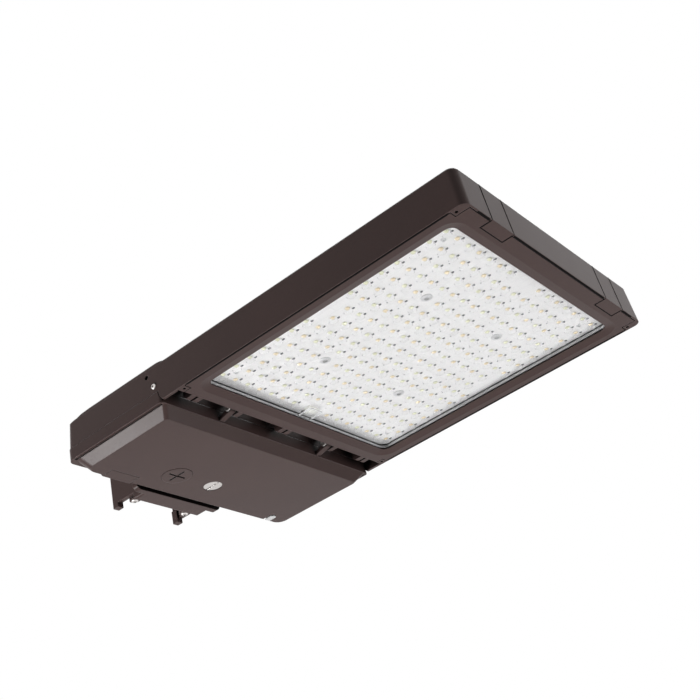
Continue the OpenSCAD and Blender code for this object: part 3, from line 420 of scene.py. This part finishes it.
def add_piece(name, points, face_sets, material, stands_for=()):
    """Makes a smooth mesh piece from points in metres and sets of faces, with its sharper
    edges kept crisp, and lets it ride on the housing."""
    mesh = bpy.data.meshes.new(name)
    faces = [face for face_set in face_sets for face in face_set.tolist()]
    mesh.from_pydata(points.tolist(), [], faces)
    mesh.materials.append(material)
    mesh.update()
    piece = bpy.data.objects.new(name, mesh)
    bpy.context.scene.collection.objects.link(piece)
    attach(piece, "housing")
    if stands_for:
        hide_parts(*stands_for)
    mesh.shade_smooth()
    mesh.set_sharp_from_angle(angle=SHARP_ANGLE)


def add_rings(name, points, places, material, up=(0, 0, 1), stands_for=()):
    """One ring form at many places as a single piece."""
    faces = repeat_faces(*points.shape[:2], len(places))
    add_piece(name, copies(points, places, up), faces, material, stands_for)


lug_low, lug_high = corners("arm_cover_screws")
lug_x = (lug_low[0] + lug_high[0]) / 2
lug_y = lug_high[1] - LUG_HEAD_RADIUS * MM
lug_seat = lug_low[2] + LUG_HEAD_HEIGHT * MM
lug_screw = MM * socket_head(LUG_HEAD_RADIUS, LUG_HEAD_HEIGHT, socket=2.3, depth=1.5,
                             shank=1.6, length=10)
add_rings("arm_lug_screws", lug_screw, [(lug_x, side * lug_y, lug_seat) for side in SIDES],
          bright_steel, up=DOWN, stands_for=["arm_cover_screws"])

# ---- Screws in the side walls ----
# One small steel socket screw in each long wall, next to the driver cover. Each head
# stands on its wall and faces sideways.
SIDE_HEAD_RADIUS = 3.0
SIDE_HEAD_HEIGHT = 1.8

side_low, side_high = corners("side_screws")
side_x = (side_low[0] + side_high[0]) / 2
side_z = (side_low[2] + side_high[2]) / 2
side_seat = side_high[1] - SIDE_HEAD_HEIGHT * MM
side_screw = MM * socket_head(SIDE_HEAD_RADIUS, SIDE_HEAD_HEIGHT, socket=1.5, depth=1.0,
                              shank=1.5, length=4.2)
for name, side, stands_for in (("side_screw_left", -1, ()),
                               ("side_screw_right", 1, ["side_screws"])):
    add_rings(name, side_screw, [(side_x, side * side_seat, side_z)], bright_steel,
              up=(0, side, 0), stands_for=stands_for)

# ---- Screws on top of the clips ----
# One steel socket screw holds each clip to the tip of the housing, from above.
CLIP_HEAD_RADIUS = 3.4
CLIP_HEAD_HEIGHT = 2.0

screw_low, screw_high = corners("clip_screws")
screw_x = (screw_low[0] + screw_high[0]) / 2
screw_y = screw_high[1] - CLIP_HEAD_RADIUS * MM
screw_seat = screw_high[2] - CLIP_HEAD_HEIGHT * MM
clip_screw = MM * socket_head(CLIP_HEAD_RADIUS, CLIP_HEAD_HEIGHT, socket=1.7, depth=1.2,
                              shank=1.5, length=11.4)
add_rings("clip_top_screws", clip_screw,
          [(screw_x, side * screw_y, screw_seat) for side in SIDES],
          bright_steel, stands_for=["clip_screws"])

# ---- Gaskets, grommets, leads and slot plug ----
# Moulded black rubber with a dull, slightly dusty skin, soft insulation extruded over the
# leads, and a white nylon plug pressed into the cover's slot.
MOULD_EDGE_RADIUS = 0.0004
MOULD_EDGE_WEAR = 0.2
MOULD_GRAIN_DEPTH = 0.00003


def moulded(name, colour, roughness=0.5, specular=0.5, grain=900.0):
    """Moulded plastic or rubber: fine grain, soft edges and a slightly uneven tone."""
    material, tree, shader = new_material(name)
    edges = place_group(tree, soft_edges, Radius=MOULD_EDGE_RADIUS)
    skin = place_group(tree, powder_coat, Peel=grain, Roughness=roughness)
    lighter = tuple(min(1.0, 1.1 * part + 0.004) for part in colour)
    paler = tuple(min(1.0, 1.3 * part + 0.02) for part in colour)
    tone = remap(tree, skin.outputs["Tone"], *USUAL_NOISE)
    mixed = blend_colours(tree, tone, colour, lighter)
    pale_edge = math_node(tree, "MULTIPLY", edges.outputs["Edge"], MOULD_EDGE_WEAR)
    tree.links.new(blend_colours(tree, pale_edge, mixed, paler), shader.inputs["Base Color"])
    tree.links.new(skin.outputs["Roughness"], shader.inputs["Roughness"])
    tree.links.new(
        bump(tree, skin.outputs["Height"], MOULD_GRAIN_DEPTH, edges.outputs["Normal"]),
        shader.inputs["Normal"])
    shader.inputs["Specular IOR Level"].default_value = specular
    return material


black_rubber = moulded("black_rubber", (0.02, 0.02, 0.02), 0.65, 0.3)
dress(black_rubber, "arm_gasket", "lens_gasket", "cover_gasket", "plug_seal",
      "screw_retainer", "duct_grommet", "arm_grommet", "breather_vent", "supply_leads")
dress(moulded("white_insulation", (0.75, 0.75, 0.72), 0.4), "led_leads", "driver_leads")
dress(moulded("white_nylon", (0.9, 0.9, 0.9), 0.45, 0.4, grain=500.0), "slot_plug")

# ---- Driver compartment ----
# LED driver in a pressed aluminium can, black surge protector, white terminal block and
# two slide switches on a steel bracket, all screwed to the housing behind the cover.
black_plastic = moulded("black_plastic", (0.02, 0.02, 0.022), 0.45)
white_plastic = moulded("white_plastic", (0.78, 0.78, 0.74), 0.45)
dress(moulded("driver_can", (0.6, 0.61, 0.62), 0.4, grain=300.0), "led_driver")
dress(bright_steel, "driver_screws")
dress(black_plastic, "surge_protector", "colour_switch", "power_switch")
dress(white_plastic, "terminal_block", "colour_slider", "power_slider", "board_connector")
dress(bare_metal("green_screw", (0.1, 0.45, 0.15)), "ground_screw")

# ---- LED board, its pad and its LED packages ----
# An aluminium board with a glossy white solder mask over faint copper fields, on a grey
# thermal pad, with white ceramic LED packages soldered on in a square grid.
MASK_WHITE = (0.95, 0.942, 0.945)
FIELD_SCALE = 27.0
FIELD_GAP = 0.012
FIELD_PALE = (1, 1, 1, 1)
FIELD_DIM = (0.985, 0.985, 0.985, 1)
FIELD_LINE = (0.93, 0.935, 0.94, 1)
FIELD_HEIGHT = 0.00004
STAIN_GRAIN = 30.0
COLUMNS = 16
ROWS = 16
SCREW_STEP = 4
HALF_LED = 1.6 * MM


def solder_mask(name, colour):
    """White solder mask: glossy, with faint rectangular copper fields under it."""
    material, tree, shader = new_material(name)
    place = object_place(tree)
    fields = tree.nodes.new("ShaderNodeTexBrick")
    for label, value in (("Scale", FIELD_SCALE), ("Mortar Size", FIELD_GAP),
                         ("Color1", FIELD_PALE), ("Color2", FIELD_DIM),
                         ("Mortar", FIELD_LINE)):
        fields.inputs[label].default_value = value
    tree.links.new(place, fields.inputs["Vector"])
    stains = noise(tree, place, scale=STAIN_GRAIN, detail=4.0)
    tone = blend_colours(tree, stains, tuple(0.97 * part for part in colour), colour)
    product = tree.nodes.new("ShaderNodeMix")
    product.data_type = "RGBA"
    product.blend_type = "MULTIPLY"
    product.inputs["Factor"].default_value = 1.0
    tree.links.new(tone, product.inputs["A"])
    tree.links.new(fields.outputs["Color"], product.inputs["B"])
    tree.links.new(product.outputs["Result"], shader.inputs["Base Color"])
    tree.links.new(remap(tree, stains, *USUAL_NOISE, 0.3, 0.42), shader.inputs["Roughness"])
    tree.links.new(bump(tree, fields.outputs["Fac"], FIELD_HEIGHT), shader.inputs["Normal"])
    return material


dress(solder_mask("white_mask", MASK_WHITE), "led_board")
dress(moulded("grey_pad", (0.35, 0.36, 0.38), 0.7), "thermal_pad")
dress(moulded("white_ceramic", (0.88, 0.88, 0.86), 0.3), "cool_leds", "warm_leds")

cool_low, cool_high = corners("cool_leds")
warm_high = corners("warm_leds")[1]
led_face = cool_low[2]
board_face = cool_high[2]
led_x = np.linspace(cool_low[0] + HALF_LED, cool_high[0] - HALF_LED, COLUMNS)
led_y = np.linspace(cool_low[1] + HALF_LED, warm_high[1] - HALF_LED, ROWS)
column, row = np.meshgrid(np.arange(COLUMNS), np.arange(ROWS), indexing="ij")
end_middle = np.isin(column, (0, COLUMNS - 1)) & np.isin(row, (ROWS // 2 - 1, ROWS // 2))
side_middle = np.isin(row, (0, ROWS - 1)) & np.isin(column, (COLUMNS // 2 - 1, COLUMNS // 2))
screw_columns = (SCREW_STEP, COLUMNS - 1 - SCREW_STEP)
screw_rows = (SCREW_STEP, ROWS - 1 - SCREW_STEP)
screw_spot = np.isin(column, screw_columns) & np.isin(row, screw_rows)
filled = ~(end_middle | side_middle | screw_spot)
led_row = row[filled]


def over_leds(level):
    """The middle of every LED, at the given level."""
    return np.stack([led_x[column[filled]], led_y[led_row], np.full(filled.sum(), level)], -1)


# ---- Phosphor domes ----
# A low dome of silicone with phosphor is cast over the chip of each LED: pale lime in the
# cool rows and amber in the warm rows, which take turns.
DOME_RADIUS = 2.6
DOME_HEIGHT = 1.2
DOME_SINK = 0.05
DOME_SEGMENTS = 14

# each dome is a quarter ellipse turned round, from its face back to the package
rise = np.linspace(0, 1.45, 5)[::-1]
bowl = np.stack([DOME_RADIUS * np.cos(rise), DOME_SINK - DOME_HEIGHT * np.sin(rise)], -1)
dome_rings = MM * lathe(np.vstack([(0.1, 0.04 - DOME_HEIGHT), bowl]), DOME_SEGMENTS)
for name, colour, parity in (("cool", (0.87, 0.87, 0.66), 0), ("warm", (0.93, 0.79, 0.56), 1)):
    phosphor = moulded(name + "_phosphor", colour, 0.25)
    add_rings(name + "_domes", dome_rings, over_leds(led_face)[led_row % 2 == parity],
              phosphor)

# ---- Dark spots and test pads ----
# Beside each LED lies a small black chip, a painted reflection of the dark that its lens
# dome refracts, and between the rows lie dark test pads. All lie flat on the board.
DARK_SPOT_OFFSET = (2.9, 5.0, 0)
DARK_SPOT_SIZE = (3.6, 1.5, 0.9)
PAD_SIZE = (1.3, 1.3, 0.15)
PAD_EVERY = 4
TABLET_SEGMENTS = 16


def chips(name, centres, size, material):
    """Small rectangular parts, each a rounded tablet: a superellipse outline
    |x/a|^4 + |y/b|^4 = 1 at three levels, narrower at the outer face."""
    angle = circle(TABLET_SEGMENTS)
    edge = (np.abs(np.cos(angle)) ** 4 + np.abs(np.sin(angle)) ** 4) ** -0.25
    outline = np.stack([edge * np.cos(angle) * size[0] / 2, edge * np.sin(angle) * size[1] / 2,
                        np.zeros(TABLET_SEGMENTS)], -1)
    levels = [(0.85, -size[2]), (1.0, -0.8 * size[2]), (1.0, 0.03)]
    points = np.stack([outline * (grow, grow, 1) + (0, 0, level) for grow, level in levels])
    add_rings(name, MM * points, centres, material)


spot_and_pad_black = moulded("spot_and_pad_black", (0.06, 0.06, 0.075), 0.4)
# painted reflection: black spots stand for the dark refracted in each lens dome
chips("dome_dark_spots", over_leds(board_face) + MM * np.array(DARK_SPOT_OFFSET), DARK_SPOT_SIZE, spot_and_pad_black)
pad_column = np.arange(PAD_EVERY // 2, COLUMNS, PAD_EVERY)
pad_x = (led_x[pad_column] + led_x[pad_column - 1]) / 2
pad_y = (led_y[1:ROWS - 2] + led_y[2:ROWS - 1]) / 2
chips("test_pads", np.array([(x, y, board_face) for x in pad_x for y in pad_y]), PAD_SIZE,
      spot_and_pad_black)

# ---- Screws of the board ----
# Nickel-plated socket screws hold the board down: four large ones in the field and four
# small ones near the corners.
nickel_plate = moulded("nickel_plate", (0.6, 0.6, 0.61), 0.35, 0.9, grain=1500.0)
large_screw = MM * socket_head(radius=6.0, height=1.5, socket=2.6, depth=1.1, shank=2.0,
                               length=3.6)
small_screw = MM * socket_head(radius=2.6, height=1.5, socket=1.1, depth=0.9, shank=1.2,
                               length=3.6)
large = [(x, y, board_face) for x in led_x[list(screw_columns)]
         for y in led_y[list(screw_rows)]]
small = [(x, y, board_face) for x in (led_x[[0, -2]] + led_x[[1, -1]]) / 2
         for y in (led_y[[0, -2]] + led_y[[1, -1]]) / 2]
add_rings("large_board_screws", large_screw, large, nickel_plate, up=DOWN,
          stands_for=["board_screws"])
add_rings("small_board_screws", small_screw, small, nickel_plate, up=DOWN)

# ---- Lens ----
# One injection-moulded sheet of clear acrylic over the board, held by the lens frame. It
# is so thin and even that it hardly bends light, and it has a low dome over each LED.
CAP_RADIUS = 4.3
CAP_HEIGHT = 0.5
CAP_PROUD = 0.02
CAP_SINK = 0.06
CAP_SEGMENTS = 20
BUMP_DEPTH = 1.4
SHEET_TINT = (0.985, 0.985, 0.985)
SHEET_BENDING = 1.05
FLOW_GRAIN = 60.0
FLOW_DEPTH = 0.0001


def clear_plastic(name, colour, roughness, bending):
    """Clear acrylic with a glossy skin and faint flow marks. The bending is its index of
    refraction, and lamp light passes straight through it to the board."""
    material, tree, shader = new_material(name)
    flow = noise(tree, object_place(tree), scale=FLOW_GRAIN)
    tree.links.new(blend_colours(tree, flow, tuple(0.97 * part for part in colour), colour),
                   shader.inputs["Base Color"])
    tree.links.new(remap(tree, flow, *USUAL_NOISE, roughness, roughness + 0.04),
                   shader.inputs["Roughness"])
    tree.links.new(bump(tree, flow, FLOW_DEPTH), shader.inputs["Normal"])
    shader.inputs["IOR"].default_value = bending
    shader.inputs["Transmission Weight"].default_value = 1.0
    shader.inputs["Coat Weight"].default_value = 0.5
    shader.inputs["Coat Roughness"].default_value = 0.06
    rays = tree.nodes.new("ShaderNodeLightPath")
    open_air = tree.nodes.new("ShaderNodeBsdfTransparent")
    open_air.inputs["Color"].default_value = (*SHEET_TINT, 1)
    mix = tree.nodes.new("ShaderNodeMixShader")
    tree.links.new(rays.outputs["Is Shadow Ray"], mix.inputs[0])
    tree.links.new(shader.outputs[0], mix.inputs[1])
    tree.links.new(open_air.outputs[0], mix.inputs[2])
    tree.links.new(mix.outputs[0], tree.nodes["Material Output"].inputs["Surface"])
    return material


clear_acrylic = clear_plastic("clear_acrylic", SHEET_TINT, 0.02, SHEET_BENDING)
dress(clear_acrylic, "optic_lens")
lens_low, lens_high = corners("optic_lens")
# each cap is a paraboloid: its height falls with the square of the distance from its middle
share = np.linspace(0.08, 1.0, 6)
cap = np.stack([CAP_RADIUS * share, -CAP_HEIGHT * (1 - share ** 2) - CAP_PROUD], -1)
cap_rings = MM * lathe(np.vstack([cap, (CAP_RADIUS, CAP_SINK)]), CAP_SEGMENTS)
add_rings("optic_domes", cap_rings, over_leds(lens_low[2] + BUMP_DEPTH * MM), clear_acrylic)

# ---- Painted light band and shadow strip round the lens ----
# A pale band between the lens's rim and the casting paints the light carried in the lens's
# clear side wall, and a black strip paints the shade in the gap at the board's edge.
LENS_LIP = 8 * MM
OPENING_CORNER = 8 * MM
CORNER_STEPS = 8
LIGHT_BAND_SECTION = ((1.95, 2.4), (2.85, 2.4), (2.85, 6.1), (1.95, 6.1))
EDGE_SECTION = ((1.0, 5.4), (1.9, 5.4), (1.9, 6.45), (1.0, 6.45))


def ring_path(half_x, half_y, corner):
    """A rectangle with round corners as a closed path: at each corner, a quarter circle
    of the corner radius r round its centre, (cx + r cos a, cy + r sin a)."""
    points = []
    for quarter, (sign_x, sign_y) in enumerate(((1, 1), (-1, 1), (-1, -1), (1, -1))):
        angle = np.pi / 2 * (quarter + np.linspace(0, 1, CORNER_STEPS))
        points.append(np.stack([sign_x * (half_x - corner) + corner * np.cos(angle),
                                sign_y * (half_y - corner) + corner * np.sin(angle)], -1))
    return np.concatenate(points)


def closed_tube(name, section, half, corner, middle, material):
    """A section of (outward, up) offsets in millimetres, carried round a rectangle with
    round corners: the path is offset by each outward distance, and both ways close."""
    rings = []
    for outward, up in MM * np.array(section):
        flat = ring_path(half[0] + outward, half[1] + outward, corner + outward)
        rings.append(np.column_stack([flat, np.full(len(flat), up)]))
    points = np.stack(rings) + np.array(middle)
    count, steps = points.shape[:2]
    line, step = np.meshgrid(np.arange(count), np.arange(steps), indexing="ij")
    next_line, next_step = (line + 1) % count, (step + 1) % steps
    faces = np.stack([line * steps + step, line * steps + next_step,
                      next_line * steps + next_step, next_line * steps + step], -1)
    add_piece(name, points.reshape(-1, 3), [faces.reshape(-1, 4)], material)


opening_low = lens_low[:2] + LENS_LIP
opening_high = lens_high[:2] - LENS_LIP
opening_half = (opening_high - opening_low) / 2
opening_middle = (*((opening_low + opening_high) / 2), lens_low[2])
# painted light: a pale band standing for the light carried in the lens's clear side wall
closed_tube("lens_wall_light_band", LIGHT_BAND_SECTION, opening_half, OPENING_CORNER, opening_middle,
            moulded("painted_lens_wall_light", (0.55, 0.55, 0.56), 0.4))
# painted shade: a black strip where the gap at the board's edge lies in shadow
closed_tube("board_edge_shadow_strip", EDGE_SECTION, opening_half, OPENING_CORNER, opening_middle,
            black_rubber)

# ---- Rim of the connector's window ----
# A raised rim of clear acrylic, moulded on the lens over the board's connector. Being
# thick, it bends light and shows as a bright and dark outline.
RIM_SECTION = ((-1.4, -0.5), (0.0, -0.5), (0.2, 0.3), (-1.4, 0.3))
RIM_HALF = (10.3 * MM, 9.8 * MM)
RIM_CORNER = 2.5 * MM
RIM_INSET = 9.5 * MM
RIM_LEVEL = 0.4 * MM
RIM_TINT = (0.98, 0.985, 1.0)
RIM_BENDING = 1.49

rim_acrylic = clear_plastic("rim_acrylic", RIM_TINT, 0.04, RIM_BENDING)
closed_tube("connector_rim", RIM_SECTION, RIM_HALF, RIM_CORNER,
            (opening_low[0] + RIM_INSET, 0.0, lens_low[2] + RIM_LEVEL), rim_acrylic)

# ---- Painted shadow strips in the joints of the lens frame and clips ----
# Black strips, a little proud of the metal, paint the shade in the narrow joints beside the
# lens frame, round the two clips that wrap the tip wall, and along the tip between them.
SEAM_SHADOW_BLACK = (0.007, 0.006, 0.006)
SHADOW_STRIP_SEGMENTS = 12
SHADOW_STRIP_PROUD = 0.05 * MM
SIDE_SHADOW_WIDTH, SIDE_SHADOW_HEIGHT = 2.7 * MM, 0.35 * MM
CLIP_SHADOW_WIDTH, CLIP_SHADOW_HEIGHT = 1.3 * MM, 0.2 * MM
TIP_SHADOW_WIDTH, TIP_SHADOW_HEIGHT = 2.2 * MM, 0.3 * MM
SIDE_GAP = 1.1 * MM
SIDE_SHADOW_REAR = 10 * MM
SIDE_SHADOW_TIP = 15.5 * MM
CLIP_WIDTH = 35 * MM
CLIP_FOOT = 13.3 * MM
FOOT_STOP = 1.5 * MM
TIP_INSET = 1.4 * MM
TIP_CLEARANCE = 2 * MM
TIP_REACH = 22 * MM
WALL_LEAN = 1.8 * MM
WALL_HEIGHT = 43 * MM
WALL_SHADOW_SPAN = (0.03, 0.96)


def shadow_strips(name, lines, width, height, material):
    """Thin strips, each from a start to an end on a face with the given outward side: a
    half-round section, w/2 cos a across and h sin a outwards, drawn in at both ends."""
    angle = circle(SHADOW_STRIP_SEGMENTS)
    taper = ((0, 0.3), (0.3 * width, 0.8), (width, 1.0))
    points = []
    for start, end, out in lines:
        start, end, out = (np.array(part, float) for part in (start, end, out))
        length = np.linalg.norm(end - start)
        along = (end - start) / length
        section = (np.outer(width / 2 * np.cos(angle), np.cross(out, along))
                   + np.outer(height * np.sin(angle), out))
        steps = taper + tuple((length - step, grow) for step, grow in taper[::-1])
        points += [start + step * along + grow * section for step, grow in steps]
    faces = repeat_faces(2 * len(taper), SHADOW_STRIP_SEGMENTS, len(lines))
    add_piece(name, np.concatenate(points), faces, material)


# painted shade: near-black strips stand for the shadow in the joints
seam_shadow_black = moulded("seam_shadow_black", SEAM_SHADOW_BLACK, 0.8, 0.05)
frame_low, frame_high = corners("lens_frame")
clip_high = corners("frame_clips")[1]
under = frame_low[2] + SHADOW_STRIP_PROUD
gap_y = frame_high[1] + SIDE_GAP
side_lines = [((frame_low[0] + SIDE_SHADOW_REAR, side * gap_y, under),
               (frame_high[0] - SIDE_SHADOW_TIP, side * gap_y, under), DOWN) for side in SIDES]
shadow_strips("side_shadow_strips", side_lines, SIDE_SHADOW_WIDTH, SIDE_SHADOW_HEIGHT, seam_shadow_black)

tip_x, clip_outer = clip_high[:2]
clip_inner = clip_outer - CLIP_WIDTH
foot_x = tip_x - CLIP_FOOT
wall_foot = np.array([tip_x, 0, frame_low[2]])
wall_rise = np.array([-WALL_LEAN, 0, WALL_HEIGHT])
wall_out = np.array([WALL_HEIGHT, 0, WALL_LEAN]) / np.hypot(WALL_HEIGHT, WALL_LEAN)
clip_lines = []
for side in SIDES:
    for y in (side * clip_inner, side * clip_outer):
        low, high = (wall_foot + (0, y, 0) + part * wall_rise for part in WALL_SHADOW_SPAN)
        clip_lines += [(low, high, wall_out),
                       ((foot_x, y, under), (tip_x - FOOT_STOP, y, under), DOWN)]
    clip_lines.append(((foot_x, side * clip_inner, under), (foot_x, side * clip_outer, under),
                       DOWN))
shadow_strips("clip_shadow_strips", clip_lines, CLIP_SHADOW_WIDTH, CLIP_SHADOW_HEIGHT, seam_shadow_black)

tip_spans = [(TIP_CLEARANCE - clip_inner, clip_inner - TIP_CLEARANCE)]
tip_spans += [(side * (clip_outer + TIP_CLEARANCE), side * (clip_outer + TIP_REACH))
              for side in SIDES]
tip_lines = [((tip_x - TIP_INSET, start, under), (tip_x - TIP_INSET, end, under), DOWN)
             for start, end in tip_spans]
shadow_strips("tip_shadow_strips", tip_lines, TIP_SHADOW_WIDTH, TIP_SHADOW_HEIGHT, seam_shadow_black)

# ---- Floor and backdrop ----
# A plain pale floor below the camera and a world that is white to the eye and dim as a
# lamp. The floor keeps the light's shadow.
WORLD_LIGHT = 0.06
WHITE = (1, 1, 1, 1)
FLOOR_Z = -1.6
FLOOR_HALF = 4.0
FLOOR_TONE = 0.8
FLOOR_GLOW = 0.8

bpy.context.scene.view_settings.view_transform = "Standard"


def white_to_the_eye(tree, seen, dim):
    """Mixes two shaders: one for camera, glossy and transmission rays that haven't yet
    met a dull surface, and one for the rest."""
    rays = tree.nodes.new("ShaderNodeLightPath")
    any_eye = math_node(tree, "MAXIMUM", rays.outputs["Is Camera Ray"],
                        math_node(tree, "MAXIMUM", rays.outputs["Is Glossy Ray"],
                                  rays.outputs["Is Transmission Ray"]))
    direct = math_node(tree, "LESS_THAN", rays.outputs["Diffuse Depth"], 0.5)
    mix = tree.nodes.new("ShaderNodeMixShader")
    tree.links.new(math_node(tree, "MULTIPLY", any_eye, direct), mix.inputs[0])
    tree.links.new(dim, mix.inputs[1])
    tree.links.new(seen, mix.inputs[2])
    return mix.outputs[0]


world = bpy.data.worlds.new("studio")
world.use_nodes = True
bpy.context.scene.world = world
sky = world.node_tree
bright_sky = sky.nodes["Background"]
dim_sky = sky.nodes.new("ShaderNodeBackground")
for background, strength in ((bright_sky, 1.0), (dim_sky, WORLD_LIGHT)):
    background.inputs["Color"].default_value = WHITE
    background.inputs["Strength"].default_value = strength
sky.links.new(white_to_the_eye(sky, bright_sky.outputs[0], dim_sky.outputs[0]),
              sky.nodes["World Output"].inputs["Surface"])

floor_paint, paint, matt = new_material("floor_paint")
matt.inputs["Base Color"].default_value = (FLOOR_TONE, FLOOR_TONE, FLOOR_TONE, 1)
matt.inputs["Roughness"].default_value = 0.9
matt.inputs["Specular IOR Level"].default_value = 0.0
glow = paint.nodes.new("ShaderNodeEmission")
glow.inputs["Strength"].default_value = FLOOR_GLOW
both = paint.nodes.new("ShaderNodeAddShader")
paint.links.new(matt.outputs[0], both.inputs[0])
paint.links.new(glow.outputs[0], both.inputs[1])
paint.links.new(white_to_the_eye(paint, both.outputs[0], matt.outputs[0]),
                paint.nodes["Material Output"].inputs["Surface"])

floor_mesh = bpy.data.meshes.new("floor")
floor_mesh.from_pydata([(x * FLOOR_HALF, y * FLOOR_HALF, FLOOR_Z)
                        for x, y in ((-1, -1), (1, -1), (1, 1), (-1, 1))], [], [(0, 1, 2, 3)])
floor_mesh.materials.append(floor_paint)
floor = bpy.data.objects.new("floor", floor_mesh)
bpy.context.scene.collection.objects.link(floor)

# ---- Lamps ----
# Four square soft boxes: below on the left, beyond the tip, straight below, and overhead.
# Each faces the middle of the head.


def soft_box(name, toward, distance, size, power):
    """A square area lamp in the direction given from the middle of the head, facing it."""
    lamp = bpy.data.lights.new(name, "AREA")
    lamp.shape = "SQUARE"
    lamp.size = size
    lamp.energy = power
    thing = bpy.data.objects.new(name, lamp)
    bpy.context.scene.collection.objects.link(thing)
    direction = Vector(toward).normalized()
    thing.location = (Vector(cad_box[0]) + Vector(cad_box[1])) / 2 + distance * direction
    thing.rotation_mode = "QUATERNION"
    thing.rotation_quaternion = (-direction).to_track_quat("-Z", "Y")


soft_box("below_left", (-0.649, -0.538, -0.540), distance=2.19, size=0.4, power=25)
soft_box("from_tip", (0.93, 0.2, -0.32), distance=2.2, size=1.2, power=8)
soft_box("below", (0.5, 0.38, -0.78), distance=2.2, size=1.0, power=23)
soft_box("overhead", (-0.3, 0.6, 0.75), distance=2.0, size=1.4, power=28)
